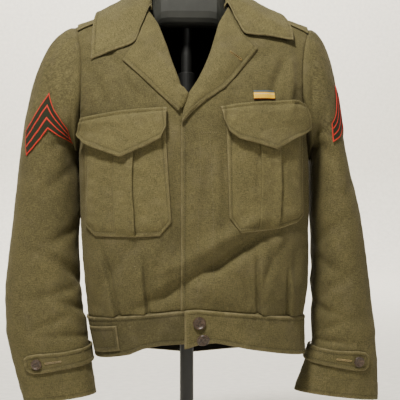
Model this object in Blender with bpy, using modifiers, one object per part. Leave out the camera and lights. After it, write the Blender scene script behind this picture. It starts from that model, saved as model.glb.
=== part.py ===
"""Short wool service jacket on a neck and shoulder form with a pole and a round base.

Metres, +Z up. The front looks towards -Y and the wearer's right is at -X.
The origin is on the base's underside, under the middle of the jacket.
"""
import math
from collections import namedtuple

import bmesh
import bpy
import numpy as np
from mathutils import Matrix, Vector

# Driving dimensions
CLOTH = 0.0018          # wool cloth, one wall
DOUBLE = 0.0024         # two layers sewn together: tabs, flaps, collar, lapels
SEAM = 0.0003           # gap between two pieces at a seam
REST = 0.0010           # clearance of a piece that lies on a panel
FRONT_LAP = 0.0030      # the left front stands this far off the right one
LAP_LEFT = -0.025       # edge of the left front, seen from the front
LAP_RIGHT = 0.022       # hidden edge of the right front
BREAK_HEIGHT = 0.606    # where the lapels start to turn
NECK_RIGHT = -0.077     # neck hole at the shoulder seam, a little to the wearer's right
NECK_LEFT = 0.061
BAND_HEIGHT = 0.058     # waistband
WAIST_BUTTON = 0.0205
CUFF_BUTTON = 0.0178
POLE_X = -0.010         # the jacket hangs a little off the stand's middle
POLE_Y = 0.015
POLE_RADIUS = 0.0115
BASE_RADIUS = 0.150
BASE_HEIGHT = 0.012
FORM_BOTTOM = 0.764
FORM_TOP = 0.872

# Torso sections, from the waist seam to the shoulder seam
Section = namedtuple("Section", "middle side right left depth edge turn square")
FRONT = [
    Section(0.3050, 0.2860, 0.1740, 0.1832, -0.1230, 0.000, 90, 2.5),
    Section(0.3600, 0.3450, 0.1795, 0.1905, -0.1330, 0.000, 90, 2.6),
    Section(0.4600, 0.4520, 0.1870, 0.1925, -0.1370, 0.000, 90, 2.6),
    Section(0.5650, 0.5560, 0.1890, 0.1905, -0.1355, 0.000, 90, 2.6),
    Section(0.6150, 0.6030, 0.1860, 0.1830, -0.1320, -0.055, 70, 2.5),
    Section(0.6620, 0.6520, 0.1835, 0.1745, -0.1230, -0.070, 60, 2.4),
    Section(0.7120, 0.7020, 0.1840, 0.1770, -0.1020, -0.058, 58, 2.3),
    Section(0.7850, 0.7420, 0.1900, 0.1860, -0.0560, -0.032, 58, 2.2),
    Section(0.8270, 0.7610, 0.1970, 0.1950, 0.0000, 0.000, 58, 2.0),
]
BACK = [
    Section(0.2680, 0.2860, 0.1740, 0.1832, 0.1080, 0.000, 90, 2.4),
    Section(0.3350, 0.3450, 0.1795, 0.1905, 0.1220, 0.000, 90, 2.4),
    Section(0.4500, 0.4520, 0.1870, 0.1925, 0.1280, 0.000, 90, 2.5),
    Section(0.5560, 0.5560, 0.1890, 0.1905, 0.1280, 0.000, 90, 2.5),
    Section(0.6100, 0.6030, 0.1880, 0.1870, 0.1260, 0.058, 70, 2.5),
    Section(0.6650, 0.6520, 0.1865, 0.1830, 0.1200, 0.074, 60, 2.4),
    Section(0.7200, 0.7020, 0.1870, 0.1840, 0.1060, 0.060, 58, 2.3),
    Section(0.7850, 0.7420, 0.1910, 0.1890, 0.0700, 0.034, 58, 2.2),
    Section(0.8270, 0.7610, 0.1970, 0.1950, 0.0000, 0.000, 58, 2.0),
]

# Edge of each front above the waist: height and where the cloth folds back or ends
Edge = namedtuple("Edge", "height right left")
FOLD = [
    Edge(0.250, LAP_RIGHT, LAP_LEFT),
    Edge(0.575, LAP_RIGHT, LAP_LEFT),
    Edge(0.606, 0.0120, -0.0220),
    Edge(0.640, -0.0120, -0.0110),
    Edge(0.660, -0.0310, 0.0030),
    Edge(0.710, -0.0450, 0.0240),
    Edge(0.760, -0.0600, 0.0390),
    Edge(0.785, -0.0745, 0.0560),
    Edge(0.830, NECK_RIGHT, NECK_LEFT),
]

# Sleeve rings below the armhole: height, inner and outer reach, half depth, middle in depth
Ring = namedtuple("Ring", "height inner outer deep middle")
SLEEVE_RIGHT = [
    Ring(0.545, 0.1935, 0.2870, 0.070, 0.012),
    Ring(0.430, 0.1905, 0.2995, 0.064, 0.008),
    Ring(0.320, 0.1820, 0.3105, 0.055, 0.001),
    Ring(0.245, 0.1735, 0.3035, 0.047, -0.005),
    Ring(0.200, 0.1675, 0.2925, 0.043, -0.008),
    Ring(0.150, 0.1600, 0.2785, 0.040, -0.010),
]
SLEEVE_LEFT = [
    Ring(0.545, 0.1975, 0.2580, 0.078, 0.018),
    Ring(0.430, 0.1970, 0.2840, 0.070, 0.012),
    Ring(0.320, 0.1965, 0.2975, 0.058, 0.004),
    Ring(0.245, 0.1995, 0.3050, 0.048, -0.001),
    Ring(0.200, 0.1865, 0.3090, 0.041, -0.004),
    Ring(0.150, 0.1680, 0.3095, 0.036, -0.006),
]


def clear_scene():
    for obj in list(bpy.data.objects):
        bpy.data.objects.remove(obj, do_unlink=True)


def material(name, colour, roughness, metallic=0.0):
    found = bpy.data.materials.get(name)
    if found:
        return found
    made = bpy.data.materials.new(name)
    made.use_nodes = True
    shader = made.node_tree.nodes["Principled BSDF"]
    shader.inputs["Base Color"].default_value = (*colour, 1.0)
    shader.inputs["Roughness"].default_value = roughness
    shader.inputs["Metallic"].default_value = metallic
    return made


def wool():
    return material("olive_wool", (0.120, 0.092, 0.036), 0.95)


def chevron_felt():
    return material("chevron_felt", (0.300, 0.030, 0.020), 0.90)


def ribbon():
    return material("ribbon", (0.640, 0.370, 0.030), 0.70)


def button_plastic():
    return material("button_plastic", (0.060, 0.036, 0.018), 0.45)


def stand_plastic():
    return material("stand_plastic", (0.020, 0.021, 0.023), 0.30)


def follow(xs, ys, at, flat_end=False):
    """Smooth curve through the points (xs, ys) with no overshoot, read at the places at."""
    xs = np.asarray(xs, float)
    ys = np.asarray(ys, float)
    at = np.clip(np.asarray(at, float), xs[0], xs[-1])
    gaps = np.diff(xs)
    rise = np.diff(ys) / gaps
    slope = np.empty_like(ys)
    product = rise[:-1] * rise[1:]
    mean = 2 * product / np.where(product > 0, rise[:-1] + rise[1:], 1.0)
    slope[1:-1] = np.where(product > 0, mean, 0.0)
    slope[0] = rise[0]
    slope[-1] = 0.0 if flat_end else rise[-1]
    k = np.clip(np.searchsorted(xs, at, side="right") - 1, 0, len(xs) - 2)
    s = (at - xs[k]) / gaps[k]
    bend = (1 - s) ** 2 * ((1 + 2 * s) * ys[k] + s * gaps[k] * slope[k])
    return bend + s ** 2 * ((3 - 2 * s) * ys[k + 1] - (1 - s) * gaps[k] * slope[k + 1])


def column(table, name, at):
    rounded = name in ("middle", "side") and table in (FRONT, BACK)
    return follow(range(len(table)), [getattr(row, name) for row in table], at, rounded)


def ramp(value, low, high):
    s = np.clip((value - low) / (high - low), 0.0, 1.0)
    return s * s * (3 - 2 * s)


def bump(value, middle, half):
    return np.exp(-((value - middle) / half) ** 2)


def stack(x, y, z):
    return np.stack(np.broadcast_arrays(x, y, z), axis=-1)


def reach(table, x, level):
    """Half width of a torso section on the side where x lies."""
    right = column(table, "right", level)
    left = column(table, "left", level)
    return np.where(x < 0, right, left)


def torso_at(table, x, level):
    """Point of the torso at a sideways place x on a section."""
    wide = reach(table, x, level)
    share = np.clip(np.abs(x) / wide, 0.0, 1.0)
    square = column(table, "square", level)
    turn = np.radians(np.clip(column(table, "turn", level), 0.0, 90.0))
    sine = share ** (square / 2) * np.sin(turn)
    power = 2 / square
    cosine = np.sqrt(np.clip(1 - sine ** 2, 0.0, 1.0))
    bend = (1 - cosine ** power) / (1 - np.clip(np.cos(turn), 0.0, 1.0) ** power)
    middle = column(table, "depth", level)
    y = middle + (column(table, "edge", level) - middle) * bend
    low = column(table, "middle", level)
    z = low + (column(table, "side", level) - low) * share
    return stack(x, y, z)


def level_of(table, x, z):
    """Section level on which the torso passes the height z at the place x."""
    x, z = np.broadcast_arrays(np.asarray(x, float), np.asarray(z, float))
    low = np.zeros(x.shape)
    high = np.full(x.shape, len(table) - 1.0)
    for _ in range(34):
        half = (low + high) / 2
        below = torso_at(table, x, half)[..., 2] < z
        low = np.where(below, half, low)
        high = np.where(below, high, half)
    return (low + high) / 2


def angle_step(table, start, level, count, sign):
    """Sideways places along a section, evenly spread round its turn."""
    wide = column(table, "right" if sign < 0 else "left", level)
    square = column(table, "square", level)
    turn = np.radians(np.clip(column(table, "turn", level), 0.0, 90.0))
    first = np.arcsin(np.clip((np.abs(start) / wide) ** (square / 2) * np.sin(turn), 0, 1))
    first = np.where(start * sign < 0, -first, first)
    s = np.linspace(0.0, 1.0, count)
    angle = first[:, None] + (turn - first)[:, None] * s[None, :]
    share = (np.abs(np.sin(angle)) / np.sin(turn)[:, None]) ** (2 / square)[:, None]
    return sign * np.sign(angle) * share * wide[:, None]


def grid_normals(points):
    across = np.gradient(points, axis=1)
    up = np.gradient(points, axis=0)
    normal = np.cross(across, up)
    return normal / np.maximum(np.linalg.norm(normal, axis=-1, keepdims=True), 1e-12)


def facing(points, towards):
    """The grid with its columns in the order that makes its faces look along towards."""
    agree = np.sum(grid_normals(points) * np.asarray(towards))
    return points if agree > 0 else points[:, ::-1]


def grid_object(name, points, look, wall, ring=False):
    """Lofts a grid of points into faces and gives them a wall on the inner side."""
    rows, columns = points.shape[:2]
    mesh = bpy.data.meshes.new(name)
    span = columns if ring else columns - 1
    faces = []
    for r in range(rows - 1):
        for c in range(span):
            d = (c + 1) % columns
            faces.append((r * columns + c, r * columns + d, (r + 1) * columns + d, (r + 1) * columns + c))
    mesh.from_pydata(points.reshape(-1, 3).tolist(), [], faces)
    mesh.shade_smooth()
    mesh.materials.append(look)
    made = bpy.data.objects.new(name, mesh)
    PARTS.objects.link(made)
    solid = made.modifiers.new("wall", "SOLIDIFY")
    solid.thickness = wall
    solid.offset = -1.0
    solid.use_even_offset = True
    solid.thickness_clamp = 0.5
    return made


# Waist pleats and soft folds of the torso panels: place at the waist, at the top, height of the top
Pleat = namedtuple("Pleat", "waist top height depth")
PLEATS = [
    Pleat(-0.126, -0.152, 0.395, 0.0026),
    Pleat(-0.079, -0.087, 0.385, 0.0026),
    Pleat(0.103, 0.099, 0.393, 0.0024),
    Pleat(0.152, 0.152, 0.366, 0.0024),
]
BACK_PLEATS = [
    Pleat(-0.112, -0.112, 0.400, 0.0026),
    Pleat(-0.062, -0.066, 0.380, 0.0024),
    Pleat(0.062, 0.066, 0.380, 0.0024),
    Pleat(0.112, 0.112, 0.400, 0.0026),
]
ACTION_FOLD = 0.138


def pleat_relief(pleats, x, z):
    """One-way pleats: the cloth rises to a fold's edge and drops behind it."""
    relief = np.zeros(np.broadcast(x, z).shape)
    for pleat in pleats:
        share = np.clip((z - 0.287) / (pleat.height - 0.287), 0, 1)
        place = pleat.waist + (pleat.top - pleat.waist) * share
        fade = 1 - ramp(z, pleat.height - 0.03, pleat.height + 0.01)
        away = (x - place) * (1 if pleat.waist < 0 else -1)
        step = np.where(away < 0, np.exp(-(away / 0.020) ** 2), np.exp(-(away / 0.007) ** 2))
        relief += pleat.depth * fade * step
    return relief


def front_relief(x, z):
    """Folds of the fronts, in metres outwards."""
    relief = pleat_relief(PLEATS, x, z)
    along = (x - 0.030) * 0.86 - (z - 0.372) * 0.50
    over = (x - 0.030) * 0.50 + (z - 0.372) * 0.86
    relief = relief - 0.0040 * bump(over, -0.004, 0.016) * bump(along, 0.0, 0.075)
    relief = relief + 0.0030 * bump(over, -0.036, 0.018) * bump(along, -0.01, 0.070)
    relief = relief + 0.0022 * bump(x, -0.165, 0.012) * ramp(z, 0.29, 0.36)
    return relief * (1 - ramp(z, 0.46, 0.56))


def back_relief(x, z):
    relief = pleat_relief(BACK_PLEATS, x, z) * (1 - ramp(z, 0.46, 0.56))
    away = np.abs(x) - ACTION_FOLD
    step = np.where(away < 0, np.exp(-(away / 0.022) ** 2), np.exp(-(away / 0.005) ** 2))
    return relief + 0.0030 * step * ramp(z, 0.30, 0.34) * (1 - ramp(z, 0.70, 0.74))


def lap(x, z):
    """How far the left front stands off, where it laps over the right one."""
    return FRONT_LAP * (1 - ramp(x, 0.030, 0.075))


def moved_out(points, normal, distance):
    return points + normal * np.asarray(distance)[..., None]


def torso_normal(table, x, z):
    step = 0.002
    east = torso_at(table, x + step, level_of(table, x + step, z))
    west = torso_at(table, x - step, level_of(table, x - step, z))
    above = torso_at(table, x, level_of(table, x, z + step))
    below = torso_at(table, x, level_of(table, x, z - step))
    normal = np.cross(east - west, above - below)
    return normal / np.linalg.norm(normal, axis=-1, keepdims=True)


def front_at(x, z, out):
    """Point of the fronts' outer face at (x, z), moved out."""
    x = np.asarray(x, float)
    z = np.asarray(z, float)
    points = torso_at(FRONT, x, level_of(FRONT, x, z))
    rise = front_relief(x, z) + np.where(x > LAP_LEFT, lap(x, z), 0.0)
    return moved_out(points, torso_normal(FRONT, x, z), rise + out)


def fold_line(side, height):
    heights = [edge.height for edge in FOLD]
    return follow(heights, [getattr(edge, side) for edge in FOLD], height)


def panel_levels(rows):
    """Rows of a torso panel, closer together where it rounds over the shoulder."""
    return np.concatenate([np.linspace(0.0, 7.0, rows - 4), [7.35, 7.65, 7.87, 8.0]])


def front_panel(name, side, columns, rows):
    """A front, from its edge or fold line to the side seam and the armhole."""
    sign = -1 if side == "right" else 1
    level = panel_levels(rows)
    middle = column(FRONT, "middle", level)
    start = fold_line(side, middle)
    for _ in range(6):
        wide = reach(FRONT, start, level)
        drop = (column(FRONT, "side", level) - middle) * np.abs(start) / wide
        start = fold_line(side, middle + drop)
    x = angle_step(FRONT, start, level, columns, sign)
    points = torso_at(FRONT, x, level[:, None])
    if sign < 0:
        points = points[:, ::-1]
    normal = grid_normals(points)
    relief = front_relief(points[..., 0], points[..., 2])
    if sign > 0:
        relief = relief + lap(points[..., 0], points[..., 2])
    points = moved_out(points, normal, relief)
    points[..., 1] -= SEAM * 1.5
    return grid_object(name, points, wool(), CLOTH)


def neckline(x):
    """Share of the back's height that the neck hole leaves at the place x."""
    middle = (NECK_RIGHT + NECK_LEFT) / 2
    half = (NECK_LEFT - NECK_RIGHT) / 2
    return 1 - 0.065 * np.clip(1 - ((x - middle) / half) ** 2, 0, 1)


def back_panel(name, columns, rows):
    """The back, from side seam to side seam, with the neck hole's curve at its top."""
    level = panel_levels(rows)
    half = columns // 2 + 1
    zero = np.zeros(rows)
    left = angle_step(BACK, zero, level, half, 1)
    right = angle_step(BACK, zero, level, half, -1)
    x = np.concatenate([left[:, ::-1], right[:, 1:]], axis=1)
    top = neckline(x[-1])
    grid = level[:, None] * (1 - (1 - top)[None, :] * ramp(level[:, None], 4.0, 8.0))
    points = torso_at(BACK, x, grid)
    normal = grid_normals(points)
    points = moved_out(points, normal, back_relief(points[..., 0], points[..., 2]))
    points[..., 1] += SEAM * 1.5
    return grid_object(name, points, wool(), CLOTH)


def armhole(sign, angle):
    """Closed armhole curve: 0 at the shoulder, 90 degrees at the front, 180 under the arm."""
    turn = np.mod(angle, 2 * math.pi) / math.pi
    front = np.clip(1 - turn, 0, 1)
    rear = np.clip(turn - 1, 0, 1)
    wide = "right" if sign < 0 else "left"
    level_front = 3.0 + 5.0 * front
    level_rear = 3.0 + 5.0 * rear
    ahead = stack(sign * column(FRONT, wide, level_front), column(FRONT, "edge", level_front),
                  column(FRONT, "side", level_front))
    behind = stack(sign * column(BACK, wide, level_rear), column(BACK, "edge", level_rear),
                   column(BACK, "side", level_rear))
    return np.where((turn <= 1)[..., None], ahead, behind)


def sleeve_ring(table, sign, level, angle):
    """Ring of a sleeve; level 0 is the upper arm, and the last one is the hem."""
    inner = column(table, "inner", level)
    outer = column(table, "outer", level)
    height = column(table, "height", level)
    deep = column(table, "deep", level)
    middle = column(table, "middle", level)
    centre = (inner + outer) / 2
    step = 0.05
    lean = ((column(table, "inner", level + step) + column(table, "outer", level + step)) / 2
            - (column(table, "inner", level - step) + column(table, "outer", level - step)) / 2)
    fall = column(table, "height", level + step) - column(table, "height", level - step)
    tilt = np.clip(-lean / fall, -0.12, 0.22)
    cosine = np.cos(angle)
    sine = np.sin(angle)
    power = 0.92
    side = np.sign(cosine) * np.abs(cosine) ** power
    deepness = np.sign(sine) * np.abs(sine) ** power
    x = sign * (centre + (outer - inner) / 2 * side)
    y = middle - deep * deepness
    z = height + (outer - inner) / 2 * side * tilt
    return stack(x, y, z)


def sleeve_at(table, sign, along, angle):
    """Point of a sleeve: along runs 0 to 1 over the cap, then one per ring."""
    along = np.asarray(along, float)
    angle = np.asarray(angle, float)
    along, angle = np.broadcast_arrays(along, angle)
    hole = armhole(sign, angle)
    first = sleeve_ring(table, sign, np.zeros(along.shape), angle)
    lower = sleeve_ring(table, sign, np.clip(along - 1, 0, len(table) - 1), angle)
    following = sleeve_ring(table, sign, np.full(along.shape, 0.08), angle)
    run = (following - first) / 0.08 * 1.35
    top = (1 + np.cos(angle)) / 2
    spread = 0.030 + (0.168 if sign < 0 else 0.118) * top ** 1.5
    start = stack(sign * spread, -0.045 * np.sin(angle), -0.150 + 0.115 * top)
    s = np.clip(along, 0, 1)[..., None]
    cap = ((1 + 2 * s) * (1 - s) ** 2 * hole + s * (1 - s) ** 2 * start
           + s * s * (3 - 2 * s) * first - s * s * (1 - s) * run)
    return np.where((along < 1)[..., None], cap, lower)


# Sleeve folds: how far along, around (degrees), length and height
Crease = namedtuple("Crease", "along angle long wide depth")
CREASES_RIGHT = [
    Crease(2.25, 175, 0.30, 45, -0.0040),
    Crease(2.70, 150, 0.22, 50, -0.0035),
    Crease(3.20, 190, 0.22, 55, -0.0035),
    Crease(3.70, 30, 0.25, 45, 0.0020),
    Crease(2.45, 265, 0.25, 45, -0.0030),
    Crease(0.55, 105, 0.25, 26, -0.0035),
]
CREASES_LEFT = [
    Crease(2.10, 170, 0.28, 50, -0.0035),
    Crease(2.60, 160, 0.24, 40, -0.0030),
    Crease(3.10, 185, 0.22, 60, -0.0035),
    Crease(3.80, 40, 0.25, 50, 0.0018),
    Crease(2.55, 270, 0.25, 45, -0.0028),
    Crease(0.60, 100, 0.25, 26, -0.0035),
]


def sleeve_relief(creases, along, angle):
    relief = np.zeros(np.broadcast(along, angle).shape)
    for crease in creases:
        away = np.degrees(angle) - crease.angle
        away = (away + 180) % 360 - 180
        relief = relief + crease.depth * bump(along, crease.along, crease.long) * bump(away, 0, crease.wide)
    return relief


def sleeve_normal(table, sign, along, angle):
    step = 0.02
    up = sleeve_at(table, sign, along - step, angle) - sleeve_at(table, sign, along + step, angle)
    round_ = sleeve_at(table, sign, along, angle + step) - sleeve_at(table, sign, along, angle - step)
    normal = np.cross(up, round_) * sign
    return normal / np.maximum(np.linalg.norm(normal, axis=-1, keepdims=True), 1e-12)


def sleeve_out(side, along, angle, out):
    table = SLEEVE_RIGHT if side == "right" else SLEEVE_LEFT
    creases = CREASES_RIGHT if side == "right" else CREASES_LEFT
    sign = -1 if side == "right" else 1
    points = sleeve_at(table, sign, along, angle)
    normal = sleeve_normal(table, sign, np.maximum(along, 0.06), angle)
    return moved_out(points, normal, sleeve_relief(creases, along, angle) + out)


def sleeve(name, side, around, cap_rows, rows):
    sign = -1 if side == "right" else 1
    angle = np.arange(around) * 2 * math.pi / around * -sign
    along = np.concatenate([np.linspace(0, 1, cap_rows, endpoint=False), np.linspace(1, 6, rows)])
    points = sleeve_out(side, along[:, None], angle[None, :], 0.0)
    points = points + np.array([sign * SEAM * 3, 0, 0])
    return grid_object(name, points[::-1], wool(), CLOTH, ring=True)


def polyline(points, at):
    """Points along a line of corners; at runs 0 to 1 with the same share for each corner."""
    points = np.asarray(points, float)
    place = np.linspace(0, 1, len(points))
    return np.stack([np.interp(at, place, points[:, k]) for k in range(points.shape[1])], axis=-1)


def corner_steps(corners, between):
    """Shares along a line of corners that hold each corner and some places between."""
    return np.linspace(0, 1, (corners - 1) * between + 1)


def patch(lower, upper, columns, rows):
    """Grid of (x, z) between a lower and an upper line."""
    low = polyline(lower, columns)
    high = polyline(upper, columns)
    share = rows[:, None, None]
    return low[None] * (1 - share) + high[None] * share


# Outlines on the front, as (x, z) from the wearer's right to the left
POCKET_RIGHT_LOW = [(-0.1740, 0.4360), (-0.1560, 0.4180), (-0.1280, 0.4175), (-0.0960, 0.4170),
                    (-0.0575, 0.4190), (-0.0390, 0.4410)]
POCKET_RIGHT_TOP = [(-0.1740, 0.5900), (-0.1560, 0.5920), (-0.1280, 0.5930), (-0.0960, 0.5940),
                    (-0.0640, 0.5960), (-0.0490, 0.5960)]
POCKET_LEFT_LOW = [(0.0500, 0.4470), (0.0670, 0.4240), (0.1020, 0.4265), (0.1280, 0.4290),
                   (0.1610, 0.4390), (0.1720, 0.4500)]
POCKET_LEFT_TOP = [(0.0450, 0.6010), (0.0600, 0.6020), (0.0980, 0.6050), (0.1250, 0.6080),
                   (0.1570, 0.6080), (0.1700, 0.6070)]
FLAP_RIGHT_LOW = [(-0.1770, 0.5800), (-0.1740, 0.5720), (-0.1640, 0.5610), (-0.1140, 0.5410),
                  (-0.0790, 0.5570), (-0.0550, 0.5695), (-0.0465, 0.5880)]
FLAP_RIGHT_TOP = [(-0.1770, 0.6070), (-0.1740, 0.6070), (-0.1640, 0.6080), (-0.1140, 0.6140),
                  (-0.0790, 0.6165), (-0.0550, 0.6180), (-0.0465, 0.6180)]
FLAP_LEFT_LOW = [(0.0400, 0.5980), (0.0480, 0.5800), (0.0630, 0.5690), (0.0860, 0.5630),
                 (0.1190, 0.5540), (0.1640, 0.5780), (0.1770, 0.5930)]
FLAP_LEFT_TOP = [(0.0360, 0.6190), (0.0480, 0.6210), (0.0630, 0.6240), (0.0860, 0.6270),
                 (0.1190, 0.6300), (0.1600, 0.6340), (0.1720, 0.6290)]
PLEAT_HALF = 0.0150
POCKET_SWELL = 0.0050


def pocket(name, low, top, middle):
    columns = corner_steps(len(low), 3)
    rows = np.linspace(0, 1, 8)
    grid = patch(low, top, columns, rows)
    across = np.linspace(0, 1, len(columns))[None, :]
    up = rows[:, None]
    edge = np.minimum(1, 6 * np.minimum(across, 1 - across)) * np.minimum(1, 5 * up)
    pleat = ramp(PLEAT_HALF + 0.004 - np.abs(grid[..., 0] - middle), 0.0, 0.005)
    out = REST + CLOTH + 0.0003 + POCKET_SWELL * edge ** 0.5 * 0.7 + 0.0018 * pleat * np.minimum(1, 5 * up)
    return grid_object(name, front_at(grid[..., 0], grid[..., 1], out), wool(), CLOTH)


def flap(name, low, top, lift):
    columns = corner_steps(len(low), 3)
    rows = np.array([0, 0.12, 0.3, 0.55, 0.8, 1.0])
    grid = patch(low, top, columns, rows)
    across = np.linspace(0, 1, len(columns))[None, :]
    up = rows[:, None]
    out = lift + 0.0008 * np.sin(math.pi * across) + 0.0008 * (1 - up) - 0.0045 * ramp(up, 0.75, 1.0)
    return grid_object(name, front_at(grid[..., 0], grid[..., 1], out), wool(), DOUBLE)


# Lapels: fold line from the bottom up, outer edge from the bottom up, and the gorge from the fold out
LAPEL_RIGHT_FOLD = [(-0.0268, 0.6130), (-0.0185, 0.6270), (-0.0155, 0.6400), (-0.0277, 0.6540),
                    (-0.0400, 0.6900), (-0.0470, 0.7150), (-0.0600, 0.7550), (-0.0735, 0.7800)]
LAPEL_RIGHT_EDGE = [(-0.0300, 0.6125), (-0.0421, 0.6242), (-0.0542, 0.6360), (-0.0664, 0.6477),
                    (-0.0785, 0.6594), (-0.0906, 0.6711), (-0.1030, 0.6828), (-0.1153, 0.6946)]
LAPEL_RIGHT_TOP = [(-0.0735, 0.7800), (-0.0800, 0.7600), (-0.0865, 0.7420), (-0.0940, 0.7220),
                   (-0.1050, 0.7080), (-0.1153, 0.6946)]
LAPEL_LEFT_FOLD = [(-0.0242, 0.5945), (-0.0180, 0.6160), (-0.0095, 0.6395), (0.0030, 0.6586),
                   (0.0140, 0.6800), (0.0240, 0.7050), (0.0385, 0.7550), (0.0555, 0.7870)]
LAPEL_LEFT_EDGE = [(-0.0225, 0.5940), (-0.0060, 0.6120), (0.0140, 0.6287), (0.0290, 0.6390),
                   (0.0439, 0.6494), (0.0600, 0.6665), (0.0770, 0.6880), (0.0992, 0.7156)]
LAPEL_LEFT_TOP = [(0.0555, 0.7870), (0.0590, 0.7700), (0.0640, 0.7530), (0.0760, 0.7330),
                  (0.0860, 0.7240), (0.0992, 0.7156)]


def lapel(name, fold, edge, top, lift):
    up = np.linspace(0, 1, 12)
    out = np.linspace(0, 1, 7)
    inner = polyline(fold, up)[:, None, :]
    outer = polyline(edge, up)[:, None, :]
    share = out[None, :, None]
    grid = inner * (1 - share) + outer * share
    straight = inner[-1] * (1 - out[:, None]) + outer[-1] * out[:, None]
    grid = grid + (polyline(top, out) - straight)[None] * (up[:, None, None] ** 3)
    rise = lift + 0.0035 * np.sin(math.pi * out)[None, :] * np.ones((12, 1))
    points = front_at(grid[..., 0], grid[..., 1], rise)
    if fold[0][0] > edge[0][0]:
        points = points[:, ::-1]
    return grid_object(name, points, wool(), DOUBLE)


# Waistband: its height along the front, from the wearer's right side seam to the left one
BAND_PLACES = (-0.170, -0.110, -0.085, -0.055, -0.016, 0.012, 0.030, 0.080, 0.186)
BAND_HEIGHTS = (0.065, 0.060, 0.053, 0.050, 0.052, 0.052, 0.049, 0.055, 0.063)
TAB_END = -0.0190       # buttoned end of the band, over the right one
TAB_DROP = 0.0075       # the end hangs lower than the band beside it
BACK_BAND = 0.062
DRAW_IN = 0.015         # the band's lower edge is drawn in at the wearer's right side


def band_at(table, x, down, out, over=0.0):
    """Point of the waistband; down runs 0 to 1 from the seam to the bottom edge."""
    x, down = np.broadcast_arrays(np.asarray(x, float), np.asarray(down, float))
    flat = np.zeros(x.shape)
    top = torso_at(table, x, flat)
    step = 0.0005
    ahead = torso_at(table, x + step, flat) - torso_at(table, x - step, flat)
    normal = stack(ahead[..., 1], -ahead[..., 0], flat)
    normal = normal / np.maximum(np.linalg.norm(normal, axis=-1, keepdims=True), 1e-12)
    if table is FRONT:
        high = np.interp(x, BAND_PLACES, BAND_HEIGHTS) + over * TAB_DROP * bump(x, TAB_END, 0.022)
        rise = over * lap(x, 0.0)
    else:
        normal = -normal
        high = np.full(x.shape, BACK_BAND)
        rise = 0.0
    points = moved_out(top, normal, 0.0022 + 0.0012 * down ** 2 + rise + out)
    points[..., 0] += DRAW_IN * down * ramp(-x, 0.06, 0.17)
    points[..., 2] -= SEAM * 3 + high * down
    return points


def waistband(name, side, columns):
    down = np.array([0.0, 0.12, 0.5, 0.88, 1.0])[:, None]
    if side == "back":
        left = angle_step(BACK, np.zeros(1), np.zeros(1), columns, 1)
        right = angle_step(BACK, np.zeros(1), np.zeros(1), columns, -1)
        x = np.concatenate([left[:, ::-1], right[:, 1:]], axis=1)
        points = band_at(BACK, x, down, 0.0)
        points[..., 1] += SEAM * 3
    else:
        sign = -1 if side == "right" else 1
        start = np.array([0.016 if side == "right" else TAB_END])
        x = angle_step(FRONT, start, np.zeros(1), columns, sign)
        if sign < 0:
            x = x[:, ::-1]
        points = band_at(FRONT, x, down, 0.0, over=1.0 if sign > 0 else 0.0)
        points[..., 1] -= SEAM * 3
    return grid_object(name, points[::-1], wool(), DOUBLE)


def waist_tab(name, table, wide, near, far):
    """Side tab from one angle round the waist to another; 90 degrees is the side seam."""
    angle = np.radians(np.linspace(near, far, 8))
    x = (wide * np.sin(angle) ** (2 / table[0].square))[None, :]
    down = np.array([0.22, 0.55, 0.86])[:, None]
    points = band_at(table, x, down, REST + CLOTH + 0.0005)
    return grid_object(name, points[::-1], wool(), CLOTH)


# Cuff straps, as (angle round the sleeve, place along it): the round end first
CUFF_LOW = [(51, 4.74), (53, 4.94), (60, 5.04), (75, 5.07), (105, 5.03), (140, 5.00), (175, 4.93), (205, 4.86)]
CUFF_TOP = [(51, 4.66), (53, 4.46), (60, 4.36), (75, 4.33), (105, 4.38), (140, 4.36), (175, 4.28), (205, 4.24)]


def cuff_tab(name, side):
    grid = patch(CUFF_LOW, CUFF_TOP, corner_steps(len(CUFF_LOW), 2), np.linspace(0, 1, 4))
    points = sleeve_out(side, grid[..., 1], np.radians(grid[..., 0]), REST + DOUBLE + 0.0003)
    higher = sleeve_out(side, grid[..., 1], np.radians(grid[..., 0]), 0.01)
    return grid_object(name, facing(points, higher - points), wool(), DOUBLE)


def along_sleeve(side, centre, start, across, down):
    """Turns distances across and down a sleeve into its angle and place along it."""
    places = np.linspace(0.0, 6.0, 181)
    line = sleeve_out(side, places, np.full(places.shape, centre), 0.0)
    length = np.concatenate([[0.0], np.cumsum(np.linalg.norm(np.diff(line, axis=0), axis=1))])
    zero = np.interp(start, places, length)
    along = np.interp(zero + down, length, places)
    turns = centre + np.radians(np.linspace(-110, 110, 89))
    ring = sleeve_out(side, along[..., None], np.broadcast_to(turns, (*along.shape, len(turns))), 0.0)
    steps = np.linalg.norm(np.diff(ring, axis=-2), axis=-1)
    reached = np.concatenate([np.zeros((*along.shape, 1)), np.cumsum(steps, axis=-1)], axis=-1)
    middle = reached[..., len(turns) // 2]
    angle = np.empty(along.shape)
    for place in np.ndindex(along.shape):
        angle[place] = np.interp(across[place] + middle[place], reached[place], turns)
    return along, angle


# Chevron patch, in metres across and down from its upper point
CHEVRON_TOP = [(-0.045, 0.050), (-0.030, 0.040), (-0.015, 0.023), (0.0, 0.0),
               (0.015, 0.023), (0.030, 0.040), (0.045, 0.050)]
CHEVRON_LOW = [(-0.045, 0.090), (-0.030, 0.084), (-0.015, 0.074), (0.0, 0.058),
               (0.015, 0.074), (0.030, 0.084), (0.045, 0.090)]
# Where its upper point sits (angle round the sleeve, place along it) and how the patch is turned there
Spot = namedtuple("Spot", "angle along tilt shear bow")
CHEVRON_RIGHT = Spot(65, 0.455, -20, -0.24, -2.4)
CHEVRON_LEFT = Spot(32, 0.480, 0, 0.0, 0.0)


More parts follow.
